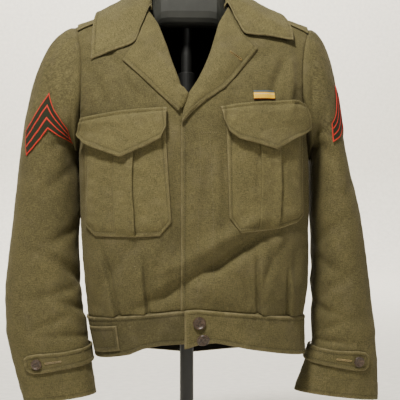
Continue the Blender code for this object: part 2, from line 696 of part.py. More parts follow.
def on_sleeve(side, spot, across, down):
    """Turns places on the flat patch into angle and place along the sleeve."""
    tilt = math.radians(spot.tilt)
    wide = across * math.cos(tilt) - down * math.sin(tilt)
    fall = across * math.sin(tilt) + down * math.cos(tilt) + spot.shear * across + spot.bow * across ** 2
    return along_sleeve(side, math.radians(spot.angle), spot.along, wide, fall)


def chevron(name, side, place):
    grid = patch(CHEVRON_LOW, CHEVRON_TOP, corner_steps(7, 2), np.linspace(0, 1, 5))
    along, angle = on_sleeve(side, place, grid[..., 0], grid[..., 1])
    points = sleeve_out(side, along, angle, REST + 0.0012 + 0.0006)
    higher = sleeve_out(side, along, angle, 0.01)
    return grid_object(name, facing(points, higher - points), chevron_felt(), 0.0012)


def shoulder_height(x, y):
    """Height of the shoulder's outer face at (x, y), close to its seam."""
    x, y = np.broadcast_arrays(np.asarray(x, float), np.asarray(y, float))
    result = np.empty(x.shape)
    for table, chosen in ((FRONT, y < 0), (BACK, y >= 0)):
        low = np.full(x.shape, 6.0)
        high = np.full(x.shape, 8.0)
        for _ in range(30):
            half = (low + high) / 2
            outer = np.abs(torso_at(table, x, half)[..., 1]) > np.abs(y)
            low = np.where(outer, half, low)
            high = np.where(outer, high, half)
        result = np.where(chosen, torso_at(table, x, low)[..., 2], result)
    return result


def shoulder_at(x, y, out):
    step = 0.001
    z = shoulder_height(x, y)
    slope_x = (shoulder_height(x + step, y) - shoulder_height(x - step, y)) / (2 * step)
    slope_y = (shoulder_height(x, y + step) - shoulder_height(x, y - step)) / (2 * step)
    normal = stack(-slope_x, -slope_y, np.ones(np.shape(z)))
    normal = normal / np.linalg.norm(normal, axis=-1, keepdims=True)
    return moved_out(stack(x, y, z), normal, out)


def epaulet(name, sign):
    x = sign * np.linspace(0.190, 0.092, 9)
    share = np.linspace(0, 1, 9)
    half = 0.0235 - 0.0045 * share
    y = np.linspace(-1, 1, 7)[:, None] * half[None, :]
    out = np.full(y.shape, REST + DOUBLE + 0.0002)
    points = shoulder_at(np.broadcast_to(x, y.shape), y, out)
    if sign > 0:
        points = points[:, ::-1]
    return grid_object(name, points, wool(), DOUBLE)


def ribbon_bar(name):
    low = [(0.0895, 0.6320), (0.1250, 0.6337)]
    top = [(0.0890, 0.6465), (0.1245, 0.6482)]
    grid = patch(low, top, np.linspace(0, 1, 4), np.linspace(0, 1, 2))
    return grid_object(name, front_at(grid[..., 0], grid[..., 1], REST + 0.0022), ribbon(), 0.0020)


# Collar: one section of seven points at each station round the neck
COLLAR_FRONT_RIGHT = [(-0.0855, 0.7520), (-0.0965, 0.7250), (-0.1310, 0.7120), (-0.1650, 0.6980)]
COLLAR_SIDE_RIGHT = [(-0.0900, 0.7875), (-0.1130, 0.7770), (-0.1380, 0.7600), (-0.1635, 0.7450)]
COLLAR_FRONT_LEFT = [(0.0660, 0.7640), (0.0810, 0.7390), (0.1190, 0.7350), (0.1570, 0.7290)]
COLLAR_SIDE_LEFT = [(0.0740, 0.7915), (0.0980, 0.7825), (0.1260, 0.7670), (0.1580, 0.7460)]
COLLAR_LIFT = 0.0046


def collar_sections():
    sections = []
    lift = COLLAR_LIFT
    front = [tuple(front_at(x, z, lift)) for x, z in COLLAR_FRONT_RIGHT]
    side = [tuple(front_at(x, z, lift + extra)) for (x, z), extra in
            zip(COLLAR_SIDE_RIGHT, (0.010, 0.008, 0.005, 0.003))]
    sections.append([(-0.0690, -0.0330, 0.7860), (-0.0685, -0.0370, 0.7890), (-0.0720, -0.0415, 0.7920)] + front)
    sections.append([(-0.0705, -0.0120, 0.8035), (-0.0690, -0.0140, 0.8080), (-0.0735, -0.0200, 0.8150)] + side)
    sections.append([(-0.0690, 0.0060, 0.8092), (-0.0680, 0.0060, 0.8200), (-0.0765, 0.0080, 0.8370),
                     (-0.0950, 0.0090, 0.8260), (-0.1150, 0.0100, 0.8140), (-0.1370, 0.0090, 0.8010),
                     (-0.1600, 0.0070, 0.7880)])
    sections.append([(-0.0540, 0.0330, 0.8095), (-0.0540, 0.0345, 0.8280), (-0.0600, 0.0420, 0.8470),
                     (-0.0730, 0.0520, 0.8370), (-0.0860, 0.0620, 0.8220), (-0.0980, 0.0710, 0.8050),
                     (-0.1090, 0.0790, 0.7860)])
    sections.append([(-0.0080, 0.0420, 0.8110), (-0.0080, 0.0460, 0.8320), (-0.0080, 0.0560, 0.8520),
                     (-0.0080, 0.0700, 0.8440), (-0.0080, 0.0810, 0.8280), (-0.0080, 0.0895, 0.8100),
                     (-0.0080, 0.0950, 0.7900)])
    for section in (sections[3], sections[2]):
        sections.append([(-0.0160 - x, y, z) for x, y, z in section])
    side = [tuple(front_at(x, z, lift + extra)) for (x, z), extra in
            zip(COLLAR_SIDE_LEFT, (0.010, 0.008, 0.005, 0.003))]
    front = [tuple(front_at(x, z, lift)) for x, z in COLLAR_FRONT_LEFT]
    sections.append([(0.0545, -0.0120, 0.8038), (0.0530, -0.0140, 0.8080), (0.0575, -0.0200, 0.8150)] + side)
    sections.append([(0.0500, -0.0330, 0.7890), (0.0500, -0.0370, 0.7930), (0.0545, -0.0415, 0.7980)] + front)
    return np.array(sections)


def collar(name, columns, rows):
    sections = collar_sections()
    places = np.linspace(0, len(sections) - 1, columns)
    steps = np.concatenate([[0, 1], np.linspace(1.5, 6, rows - 2)])
    smooth = np.empty((columns, sections.shape[1], 3))
    for point in range(sections.shape[1]):
        for axis in range(3):
            smooth[:, point, axis] = follow(range(len(sections)), sections[:, point, axis], places)
    points = np.empty((rows, columns, 3))
    for station in range(columns):
        for axis in range(3):
            points[:, station, axis] = follow(range(sections.shape[1]), smooth[station, :, axis], steps)
    points[2:] = lifted_clear(points[2:])
    return grid_object(name, points, wool(), DOUBLE)


def lifted_clear(points):
    """Keeps the collar's fall off the fronts, the back and the shoulder straps."""
    x, y, z = points[..., 0], points[..., 1], points[..., 2]
    seam = torso_at(FRONT, x, np.full(x.shape, 8.0))[..., 2]
    below = z < seam - 0.003
    height = np.minimum(z, seam - 0.003)
    lift = COLLAR_LIFT + 0.0013 + 0.0040 * bump(y, 0.0, 0.030)
    front = torso_at(FRONT, x, level_of(FRONT, x, height))
    front = moved_out(front, torso_normal(FRONT, x, height), lift)
    back = torso_at(BACK, x, level_of(BACK, x, height))
    back = moved_out(back, -torso_normal(BACK, x, height), lift)
    y = np.where(below & (y < 0), np.minimum(y, front[..., 1]), y)
    y = np.where(below & (y >= 0), np.maximum(y, back[..., 1]), y)
    near = (np.abs(y) < 0.03) & (np.abs(x + 0.008) > 0.078)
    over = shoulder_height(x, np.clip(y, -0.03, 0.03)) + 0.0085
    z = np.where(near & ~below, np.maximum(z, over), z)
    return stack(x, y, z)


def loft_solid(name, rings, look):
    """Closed solid through rings of equal count, with flat ends."""
    count = len(rings[0])
    mesh = bpy.data.meshes.new(name)
    faces = []
    for r in range(len(rings) - 1):
        for c in range(count):
            d = (c + 1) % count
            faces.append((r * count + c, r * count + d, (r + 1) * count + d, (r + 1) * count + c))
    faces.append(tuple(reversed(range(count))))
    faces.append(tuple(range((len(rings) - 1) * count, len(rings) * count)))
    mesh.from_pydata([tuple(point) for ring in rings for point in ring], [], faces)
    working = bmesh.new()
    working.from_mesh(mesh)
    bmesh.ops.recalc_face_normals(working, faces=working.faces)
    working.to_mesh(mesh)
    working.free()
    mesh.shade_smooth()
    mesh.set_sharp_from_angle(angle=math.radians(40))
    mesh.materials.append(look)
    made = bpy.data.objects.new(name, mesh)
    PARTS.objects.link(made)
    return made


# Neck and shoulder form: sections from the wearer's right to the left
FORM_X = -0.008
Wing = namedtuple("Wing", "away half front rear square")
NECK = [
    Wing(0.000, 0.0540, -0.034, 0.024, 4.5),
    Wing(0.034, 0.0540, -0.034, 0.022, 4.5),
    Wing(0.046, 0.0500, -0.033, 0.012, 4.0),
    Wing(0.053, 0.0340, -0.028, 0.004, 3.0),
    Wing(0.062, 0.0250, -0.022, 0.008, 2.2),
    Wing(0.085, 0.0270, -0.021, 0.018, 2.0),
    Wing(0.115, 0.0260, -0.021, 0.018, 2.0),
    Wing(0.145, 0.0240, -0.020, 0.017, 2.0),
    Wing(0.160, 0.0180, -0.016, 0.018, 2.0),
    Wing(0.166, 0.0080, -0.007, 0.008, 2.0),
]


def form_ring(wing, side, around=20):
    x = FORM_X + side * wing.away
    seam = float(torso_at(FRONT, np.array(x), np.array(8.0))[2]) - CLOTH - 0.0009
    centre = (FORM_TOP + FORM_BOTTOM) / 2 if wing.away < 0.04 else seam - wing.half
    if 0.04 < wing.away < 0.060:
        centre = {0.046: 0.8120, 0.053: 0.7900}[wing.away]
    if wing.away > 0.150:
        centre = seam - 0.0240 + (0.0240 - wing.half) * -0.2
    ring = []
    for k in range(around):
        angle = 2 * math.pi * k / around
        cosine = math.cos(angle)
        sine = math.sin(angle)
        power = 2 / wing.square
        deep = -wing.front if cosine < 0 else wing.rear
        y = 0.001 + math.copysign(abs(cosine) ** power, cosine) * deep
        ring.append((x, y, centre + math.copysign(abs(sine) ** power, sine) * wing.half))
    return ring


def form(name):
    rings = [form_ring(wing, -1) for wing in reversed(NECK)]
    rings += [form_ring(wing, 1) for wing in NECK[1:]]
    return loft_solid(name, rings, stand_plastic())


def turned(name, profile, look, steps=16):
    """Solid turned round Z from a profile that runs from the top down, at +X."""
    mesh = bpy.data.meshes.new(name)
    edges = [(k, k + 1) for k in range(len(profile) - 1)]
    mesh.from_pydata([(radius, 0.0, height) for radius, height in profile], edges, [])
    mesh.materials.append(look)
    made = bpy.data.objects.new(name, mesh)
    PARTS.objects.link(made)
    screw = made.modifiers.new("turn", "SCREW")
    screw.steps = steps
    screw.render_steps = steps
    screw.use_merge_vertices = True
    screw.merge_threshold = 0.00001
    screw.use_smooth_shade = True
    return made


def stand(name):
    """Round base with a pole that ends in a thinner rod under the form."""
    top = FORM_BOTTOM - SEAM
    wide = POLE_RADIUS + 0.003
    profile = [(0, top), (POLE_RADIUS - 0.002, top), (POLE_RADIUS - 0.002, 0.690), (wide, 0.688),
               (wide, 0.652), (POLE_RADIUS, 0.650), (POLE_RADIUS, 0.070), (wide, 0.066),
               (wide + 0.005, BASE_HEIGHT + 0.003), (0.045, BASE_HEIGHT),
               (BASE_RADIUS - 0.010, BASE_HEIGHT - 0.004), (BASE_RADIUS - 0.002, 0.006),
               (BASE_RADIUS, 0.002), (BASE_RADIUS, 0), (0, 0)]
    made = turned(name, profile, stand_plastic(), 28)
    made.location = (POLE_X, POLE_Y, 0)
    return made


def button(name, point, normal, across, spin):
    """Four-hole button with a rim, its back on a point and facing along a normal."""
    radius = across / 2
    high = across * 0.19
    profile = [(0, high * 0.62), (radius * 0.52, high * 0.62), (radius * 0.66, high * 0.80),
               (radius * 0.78, high), (radius * 0.90, high), (radius, high * 0.62),
               (radius * 0.97, high * 0.25), (radius * 0.70, 0), (0, 0)]
    made = turned(name, profile, button_plastic(), 18)
    turn = Vector(normal).to_track_quat("Z", "Y").to_matrix().to_4x4()
    place = Matrix.Translation(Vector(point)) @ turn @ Matrix.Rotation(math.radians(spin), 4, "Z")
    for k in range(4):
        angle = math.radians(45 + 90 * k)
        hole = Matrix.Translation((0.17 * across * math.cos(angle), 0.17 * across * math.sin(angle), 0))
        bpy.ops.mesh.primitive_cylinder_add(vertices=6, radius=across * 0.050, depth=high * 4)
        cutter = bpy.context.object
        cutter.name = name + "_hole_" + str(k)
        cutter.data.transform(place @ hole)
        for owner in list(cutter.users_collection):
            owner.objects.unlink(cutter)
        CUTTERS.objects.link(cutter)
        cutter.hide_render = True
        cutter.display_type = "WIRE"
        cut = made.modifiers.new("hole", "BOOLEAN")
        cut.object = cutter
    made.matrix_world = place
    return made


def sleeve_button(name, side, along, degrees):
    angle = math.radians(degrees)
    low = sleeve_out(side, along, angle, REST + DOUBLE + 0.0011)
    high = sleeve_out(side, along, angle, REST + DOUBLE + 0.0114)
    return button(name, low, high - low, CUFF_BUTTON, 20)


clear_scene()
PARTS = bpy.data.collections.new("military_service_jacket")
CUTTERS = bpy.data.collections.new("cutters")
bpy.context.scene.collection.children.link(PARTS)
bpy.context.scene.collection.children.link(CUTTERS)

front_panel("front_right", "right", 15, 21)
front_panel("front_left", "left", 15, 21)
back_panel("back", 25, 18)
sleeve("sleeve_right", "right", 18, 7, 13)
sleeve("sleeve_left", "left", 18, 7, 13)
pocket("pocket_right", POCKET_RIGHT_LOW, POCKET_RIGHT_TOP, -0.112)
pocket("pocket_left", POCKET_LEFT_LOW, POCKET_LEFT_TOP, 0.114)
flap("flap_right", FLAP_RIGHT_LOW, FLAP_RIGHT_TOP, 0.0110)
flap("flap_left", FLAP_LEFT_LOW, FLAP_LEFT_TOP, 0.0114)
lapel("lapel_right", LAPEL_RIGHT_FOLD, LAPEL_RIGHT_EDGE, LAPEL_RIGHT_TOP, REST + DOUBLE)
lapel("lapel_left", LAPEL_LEFT_FOLD, LAPEL_LEFT_EDGE, LAPEL_LEFT_TOP, REST + DOUBLE)

collar("collar", 33, 11)
waistband("waistband_right", "right", 12)
waistband("waistband_left", "left", 12)
waistband("waistband_back", "back", 13)
waist_tab("waist_tab_right", FRONT, -0.1700, 84, 43)
waist_tab("waist_tab_left", BACK, 0.1830, 84, 43)
cuff_tab("cuff_tab_right", "right")
cuff_tab("cuff_tab_left", "left")
epaulet("epaulet_right", -1)
epaulet("epaulet_left", 1)
chevron("chevron_right", "right", CHEVRON_RIGHT)
chevron("chevron_left", "left", CHEVRON_LEFT)
ribbon_bar("ribbon_bar")
form("form")
stand("stand")
upper = band_at(FRONT, 0.0040, 0.38, 0.0016, over=1.0)
button("waist_button_upper", upper, (0.02, -1.0, 0.0), WAIST_BUTTON, 10)
lower = band_at(FRONT, 0.0095, 0.84, 0.0052, over=1.0)
button("waist_button_lower", lower, (0.10, -0.88, -0.46), WAIST_BUTTON, 35)
sleeve_button("cuff_button_right", "right", 4.72, 72)
sleeve_button("cuff_button_left", "left", 4.72, 72)
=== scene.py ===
"""Looks, camera and light for the short wool service jacket on its neck form and stand."""
import math
from collections import namedtuple

import bpy
import numpy as np
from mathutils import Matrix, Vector


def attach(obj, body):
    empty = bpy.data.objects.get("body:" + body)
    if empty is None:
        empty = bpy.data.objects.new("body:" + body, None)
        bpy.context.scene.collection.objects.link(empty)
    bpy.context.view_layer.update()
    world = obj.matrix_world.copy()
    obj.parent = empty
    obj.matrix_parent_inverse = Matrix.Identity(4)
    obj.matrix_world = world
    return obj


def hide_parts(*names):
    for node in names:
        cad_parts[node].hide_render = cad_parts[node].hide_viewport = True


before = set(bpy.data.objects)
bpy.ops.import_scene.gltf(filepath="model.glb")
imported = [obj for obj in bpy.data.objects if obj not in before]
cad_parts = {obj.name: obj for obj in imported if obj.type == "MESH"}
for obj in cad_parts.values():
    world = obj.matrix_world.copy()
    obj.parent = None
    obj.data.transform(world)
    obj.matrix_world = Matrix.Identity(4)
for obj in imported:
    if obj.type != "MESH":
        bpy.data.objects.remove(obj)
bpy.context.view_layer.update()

# Driving dimensions
CLOTH = 0.0018          # wool cloth, one wall
DOUBLE = 0.0024         # two layers sewn together: tabs, flaps, collar, lapels
SEAM = 0.0003           # gap between two pieces at a seam
REST = 0.0010           # clearance of a piece that lies on a panel
FRONT_LAP = 0.0030      # the left front stands this far off the right one
LAP_LEFT = -0.025       # edge of the left front, seen from the front
LAP_RIGHT = 0.022       # hidden edge of the right front
NECK_RIGHT = -0.077     # neck hole at the shoulder seam, a little to the wearer's right
NECK_LEFT = 0.061

# Torso sections, from the waist seam to the shoulder seam
Section = namedtuple("Section", "middle side right left depth edge turn square")
FRONT = [
    Section(0.3050, 0.2860, 0.1740, 0.1832, -0.1230, 0.000, 90, 2.5),
    Section(0.3600, 0.3450, 0.1795, 0.1905, -0.1330, 0.000, 90, 2.6),
    Section(0.4600, 0.4520, 0.1870, 0.1925, -0.1370, 0.000, 90, 2.6),
    Section(0.5650, 0.5560, 0.1890, 0.1905, -0.1355, 0.000, 90, 2.6),
    Section(0.6150, 0.6030, 0.1860, 0.1830, -0.1320, -0.055, 70, 2.5),
    Section(0.6620, 0.6520, 0.1835, 0.1745, -0.1230, -0.070, 60, 2.4),
    Section(0.7120, 0.7020, 0.1840, 0.1770, -0.1020, -0.058, 58, 2.3),
    Section(0.7850, 0.7420, 0.1900, 0.1860, -0.0560, -0.032, 58, 2.2),
    Section(0.8270, 0.7610, 0.1970, 0.1950, 0.0000, 0.000, 58, 2.0),
]
BACK = [
    Section(0.2680, 0.2860, 0.1740, 0.1832, 0.1080, 0.000, 90, 2.4),
    Section(0.3350, 0.3450, 0.1795, 0.1905, 0.1220, 0.000, 90, 2.4),
    Section(0.4500, 0.4520, 0.1870, 0.1925, 0.1280, 0.000, 90, 2.5),
    Section(0.5560, 0.5560, 0.1890, 0.1905, 0.1280, 0.000, 90, 2.5),
    Section(0.6100, 0.6030, 0.1880, 0.1870, 0.1260, 0.058, 70, 2.5),
    Section(0.6650, 0.6520, 0.1865, 0.1830, 0.1200, 0.074, 60, 2.4),
    Section(0.7200, 0.7020, 0.1870, 0.1840, 0.1060, 0.060, 58, 2.3),
    Section(0.7850, 0.7420, 0.1910, 0.1890, 0.0700, 0.034, 58, 2.2),
    Section(0.8270, 0.7610, 0.1970, 0.1950, 0.0000, 0.000, 58, 2.0),
]

# Edge of each front above the waist: height and where the cloth folds back or ends
Edge = namedtuple("Edge", "height right left")
FOLD = [
    Edge(0.250, LAP_RIGHT, LAP_LEFT),
    Edge(0.575, LAP_RIGHT, LAP_LEFT),
    Edge(0.606, 0.0120, -0.0220),
    Edge(0.640, -0.0120, -0.0110),
    Edge(0.660, -0.0310, 0.0030),
    Edge(0.710, -0.0450, 0.0240),
    Edge(0.760, -0.0600, 0.0390),
    Edge(0.785, -0.0745, 0.0560),
    Edge(0.830, NECK_RIGHT, NECK_LEFT),
]

# Sleeve rings below the armhole: height, inner and outer reach, half depth, middle in depth
Ring = namedtuple("Ring", "height inner outer deep middle")
SLEEVE_RIGHT = [
    Ring(0.545, 0.1935, 0.2870, 0.070, 0.012),
    Ring(0.430, 0.1905, 0.2995, 0.064, 0.008),
    Ring(0.320, 0.1820, 0.3105, 0.055, 0.001),
    Ring(0.245, 0.1735, 0.3035, 0.047, -0.005),
    Ring(0.200, 0.1675, 0.2925, 0.043, -0.008),
    Ring(0.150, 0.1600, 0.2785, 0.040, -0.010),
]
SLEEVE_LEFT = [
    Ring(0.545, 0.1975, 0.2580, 0.078, 0.018),
    Ring(0.430, 0.1970, 0.2840, 0.070, 0.012),
    Ring(0.320, 0.1965, 0.2975, 0.058, 0.004),
    Ring(0.245, 0.1995, 0.3050, 0.048, -0.001),
    Ring(0.200, 0.1865, 0.3090, 0.041, -0.004),
    Ring(0.150, 0.1680, 0.3095, 0.036, -0.006),
]

def follow(xs, ys, at, flat_end=False):
    """Smooth curve through the points (xs, ys) with no overshoot, read at the places at."""
    xs = np.asarray(xs, float)
    ys = np.asarray(ys, float)
    at = np.clip(np.asarray(at, float), xs[0], xs[-1])
    gaps = np.diff(xs)
    rise = np.diff(ys) / gaps
    slope = np.empty_like(ys)
    product = rise[:-1] * rise[1:]
    mean = 2 * product / np.where(product > 0, rise[:-1] + rise[1:], 1.0)
    slope[1:-1] = np.where(product > 0, mean, 0.0)
    slope[0] = rise[0]
    slope[-1] = 0.0 if flat_end else rise[-1]
    k = np.clip(np.searchsorted(xs, at, side="right") - 1, 0, len(xs) - 2)
    s = (at - xs[k]) / gaps[k]
    bend = (1 - s) ** 2 * ((1 + 2 * s) * ys[k] + s * gaps[k] * slope[k])
    return bend + s ** 2 * ((3 - 2 * s) * ys[k + 1] - (1 - s) * gaps[k] * slope[k + 1])


def column(table, name, at):
    rounded = name in ("middle", "side") and table in (FRONT, BACK)
    return follow(range(len(table)), [getattr(row, name) for row in table], at, rounded)


def ramp(value, low, high):
    s = np.clip((value - low) / (high - low), 0.0, 1.0)
    return s * s * (3 - 2 * s)


def bump(value, middle, half):
    return np.exp(-((value - middle) / half) ** 2)


def stack(x, y, z):
    return np.stack(np.broadcast_arrays(x, y, z), axis=-1)


def reach(table, x, level):
    """Half width of a torso section on the side where x lies."""
    right = column(table, "right", level)
    left = column(table, "left", level)
    return np.where(x < 0, right, left)


def torso_at(table, x, level):
    """Point of the torso at a sideways place x on a section."""
    wide = reach(table, x, level)
    share = np.clip(np.abs(x) / wide, 0.0, 1.0)
    square = column(table, "square", level)
    turn = np.radians(np.clip(column(table, "turn", level), 0.0, 90.0))
    sine = share ** (square / 2) * np.sin(turn)
    power = 2 / square
    cosine = np.sqrt(np.clip(1 - sine ** 2, 0.0, 1.0))
    bend = (1 - cosine ** power) / (1 - np.clip(np.cos(turn), 0.0, 1.0) ** power)
    middle = column(table, "depth", level)
    y = middle + (column(table, "edge", level) - middle) * bend
    low = column(table, "middle", level)
    z = low + (column(table, "side", level) - low) * share
    return stack(x, y, z)


def level_of(table, x, z):
    """Section level on which the torso passes the height z at the place x."""
    x, z = np.broadcast_arrays(np.asarray(x, float), np.asarray(z, float))
    low = np.zeros(x.shape)
    high = np.full(x.shape, len(table) - 1.0)
    for _ in range(34):
        half = (low + high) / 2
        below = torso_at(table, x, half)[..., 2] < z
        low = np.where(below, half, low)
        high = np.where(below, high, half)
    return (low + high) / 2


def angle_step(table, start, level, count, sign):
    """Sideways places along a section, evenly spread round its turn."""
    wide = column(table, "right" if sign < 0 else "left", level)
    square = column(table, "square", level)
    turn = np.radians(np.clip(column(table, "turn", level), 0.0, 90.0))
    first = np.arcsin(np.clip((np.abs(start) / wide) ** (square / 2) * np.sin(turn), 0, 1))
    first = np.where(start * sign < 0, -first, first)
    s = np.linspace(0.0, 1.0, count)
    angle = first[:, None] + (turn - first)[:, None] * s[None, :]
    share = (np.abs(np.sin(angle)) / np.sin(turn)[:, None]) ** (2 / square)[:, None]
    return sign * np.sign(angle) * share * wide[:, None]


def grid_normals(points):
    across = np.gradient(points, axis=1)
    up = np.gradient(points, axis=0)
    normal = np.cross(across, up)
    return normal / np.maximum(np.linalg.norm(normal, axis=-1, keepdims=True), 1e-12)


# Waist pleats and soft folds of the torso panels: place at the waist, at the top, height of the top
Pleat = namedtuple("Pleat", "waist top height depth")
PLEATS = [
    Pleat(-0.126, -0.152, 0.395, 0.0026),
    Pleat(-0.079, -0.087, 0.385, 0.0026),
    Pleat(0.103, 0.099, 0.393, 0.0024),
    Pleat(0.152, 0.152, 0.366, 0.0024),
]
BACK_PLEATS = [
    Pleat(-0.112, -0.112, 0.400, 0.0026),
    Pleat(-0.062, -0.066, 0.380, 0.0024),
    Pleat(0.062, 0.066, 0.380, 0.0024),
    Pleat(0.112, 0.112, 0.400, 0.0026),
]
ACTION_FOLD = 0.138

def pleat_relief(pleats, x, z):
    """One-way pleats: the cloth rises to a fold's edge and drops behind it."""
    relief = np.zeros(np.broadcast(x, z).shape)
    for pleat in pleats:
        share = np.clip((z - 0.287) / (pleat.height - 0.287), 0, 1)
        place = pleat.waist + (pleat.top - pleat.waist) * share
        fade = 1 - ramp(z, pleat.height - 0.03, pleat.height + 0.01)
        away = (x - place) * (1 if pleat.waist < 0 else -1)
        step = np.where(away < 0, np.exp(-(away / 0.020) ** 2), np.exp(-(away / 0.0016) ** 2))
        relief += 2.1 * pleat.depth * fade * step - 0.0034 * fade * bump(away, 0.0045, 0.0034)
    return relief


def pleat_lines(pleats, x, z):
    """Nearness of the pleats' folded edges, from 0 to 1, where painted shade darkens the cloth."""
    lines = np.zeros(np.broadcast(x, z).shape)
    for pleat in pleats:
        share = np.clip((z - 0.287) / (pleat.height - 0.287), 0, 1)
        away = (x - pleat.waist - (pleat.top - pleat.waist) * share) * (1 if pleat.waist < 0 else -1)
        fade = 1 - ramp(z, pleat.height - 0.03, pleat.height)
        lines = np.maximum(lines, bump(away, 0.0024, 0.0018) * fade)
    return lines


def front_relief(x, z):
    """Folds of the fronts, in metres outwards."""
    relief = pleat_relief(PLEATS, x, z)
    along = (x - 0.030) * 0.86 - (z - 0.372) * 0.50
    over = (x - 0.030) * 0.50 + (z - 0.372) * 0.86
    relief = relief - 0.0040 * bump(over, -0.004, 0.016) * bump(along, 0.0, 0.075)
    relief = relief + 0.0030 * bump(over, -0.036, 0.018) * bump(along, -0.01, 0.070)
    relief = relief + 0.0022 * bump(x, -0.165, 0.012) * ramp(z, 0.29, 0.36)
    return relief * (1 - ramp(z, 0.46, 0.56)) + crease_relief(FRONT_FOLDS, x, z)


def back_relief(x, z):
    relief = pleat_relief(BACK_PLEATS, x, z) * (1 - ramp(z, 0.46, 0.56))
    away = np.abs(x) - ACTION_FOLD
    step = np.where(away < 0, np.exp(-(away / 0.022) ** 2), np.exp(-(away / 0.005) ** 2))
    relief = relief + crease_relief(BACK_FOLDS, x, z)
    return relief + 0.0030 * step * ramp(z, 0.30, 0.34) * (1 - ramp(z, 0.70, 0.74))


def lap(x, z):
    """How far the left front stands off, where it laps over the right one."""
    return FRONT_LAP * (1 - ramp(x, 0.030, 0.075))


def moved_out(points, normal, distance):
    return points + normal * np.asarray(distance)[..., None]


def torso_normal(table, x, z):
    step = 0.002
    east = torso_at(table, x + step, level_of(table, x + step, z))
    west = torso_at(table, x - step, level_of(table, x - step, z))
    above = torso_at(table, x, level_of(table, x, z + step))
    below = torso_at(table, x, level_of(table, x, z - step))
    normal = np.cross(east - west, above - below)
    return normal / np.linalg.norm(normal, axis=-1, keepdims=True)


def front_at(x, z, out):
    """Point of the fronts' outer face at (x, z), moved out."""
    x = np.asarray(x, float)
    z = np.asarray(z, float)
    points = torso_at(FRONT, x, level_of(FRONT, x, z))
    rise = front_relief(x, z) + np.where(x > LAP_LEFT, lap(x, z), 0.0)
    return moved_out(points, torso_normal(FRONT, x, z), rise + out)


def fold_line(side, height):
    heights = [edge.height for edge in FOLD]
    return follow(heights, [getattr(edge, side) for edge in FOLD], height)


def neckline(x):
    """Share of the back's height that the neck hole leaves at the place x."""
    middle = (NECK_RIGHT + NECK_LEFT) / 2
    half = (NECK_LEFT - NECK_RIGHT) / 2
    return 1 - 0.065 * np.clip(1 - ((x - middle) / half) ** 2, 0, 1)


def armhole(sign, angle):
    """Closed armhole curve: 0 at the shoulder, 90 degrees at the front, 180 under the arm."""
    turn = np.mod(angle, 2 * math.pi) / math.pi
    front = np.clip(1 - turn, 0, 1)
    rear = np.clip(turn - 1, 0, 1)
    wide = "right" if sign < 0 else "left"
    level_front = 3.0 + 5.0 * front
    level_rear = 3.0 + 5.0 * rear
    ahead = stack(sign * column(FRONT, wide, level_front), column(FRONT, "edge", level_front),
                  column(FRONT, "side", level_front))
    behind = stack(sign * column(BACK, wide, level_rear), column(BACK, "edge", level_rear),
                   column(BACK, "side", level_rear))
    return np.where((turn <= 1)[..., None], ahead, behind)


def sleeve_ring(table, sign, level, angle):
    """Ring of a sleeve; level 0 is the upper arm, and the last one is the hem."""
    inner = column(table, "inner", level)
    outer = column(table, "outer", level)
    height = column(table, "height", level)
    deep = column(table, "deep", level)
    middle = column(table, "middle", level)
    centre = (inner + outer) / 2
    step = 0.05
    lean = ((column(table, "inner", level + step) + column(table, "outer", level + step)) / 2
            - (column(table, "inner", level - step) + column(table, "outer", level - step)) / 2)
    fall = column(table, "height", level + step) - column(table, "height", level - step)
    tilt = np.clip(-lean / fall, -0.12, 0.22)
    cosine = np.cos(angle)
    sine = np.sin(angle)
    power = 0.92
    side = np.sign(cosine) * np.abs(cosine) ** power
    deepness = np.sign(sine) * np.abs(sine) ** power
    x = sign * (centre + (outer - inner) / 2 * side)
    y = middle - deep * deepness
    z = height + (outer - inner) / 2 * side * tilt
    return stack(x, y, z)


def sleeve_at(table, sign, along, angle):
    """Point of a sleeve: along runs 0 to 1 over the cap, then one per ring."""
    along = np.asarray(along, float)
    angle = np.asarray(angle, float)
    along, angle = np.broadcast_arrays(along, angle)
    hole = armhole(sign, angle)
    first = sleeve_ring(table, sign, np.zeros(along.shape), angle)
    lower = sleeve_ring(table, sign, np.clip(along - 1, 0, len(table) - 1), angle)
    following = sleeve_ring(table, sign, np.full(along.shape, 0.08), angle)
    run = (following - first) / 0.08 * 1.35
    top = (1 + np.cos(angle)) / 2
    spread = 0.030 + (0.168 if sign < 0 else 0.118) * top ** 1.5
    start = stack(sign * spread, -0.045 * np.sin(angle), -0.150 + 0.115 * top)
    s = np.clip(along, 0, 1)[..., None]
    cap = ((1 + 2 * s) * (1 - s) ** 2 * hole + s * (1 - s) ** 2 * start
           + s * s * (3 - 2 * s) * first - s * s * (1 - s) * run)
    return np.where((along < 1)[..., None], cap, lower)


# Sleeve folds: how far along, around (degrees), length and height
Crease = namedtuple("Crease", "along angle long wide depth")
CREASES_RIGHT = [
    Crease(2.25, 175, 0.30, 45, -0.0040),
    Crease(2.70, 150, 0.22, 50, -0.0035),
    Crease(3.20, 190, 0.22, 55, -0.0035),
    Crease(3.70, 30, 0.25, 45, 0.0020),
    Crease(2.45, 265, 0.25, 45, -0.0030),
    Crease(0.55, 105, 0.25, 26, -0.0035),
]
CREASES_LEFT = [
    Crease(2.10, 170, 0.28, 50, -0.0035),
    Crease(2.60, 160, 0.24, 40, -0.0030),
    Crease(3.10, 185, 0.22, 60, -0.0035),
    Crease(3.80, 40, 0.25, 50, 0.0018),
    Crease(2.55, 270, 0.25, 45, -0.0028),
    Crease(0.60, 100, 0.25, 26, -0.0035),
]

def sleeve_relief(creases, along, angle):
    relief = np.zeros(np.broadcast(along, angle).shape)
    for crease in creases:
        away = np.degrees(angle) - crease.angle
        away = (away + 180) % 360 - 180
        relief = relief + crease.depth * bump(along, crease.along, crease.long) * bump(away, 0, crease.wide)
    return relief


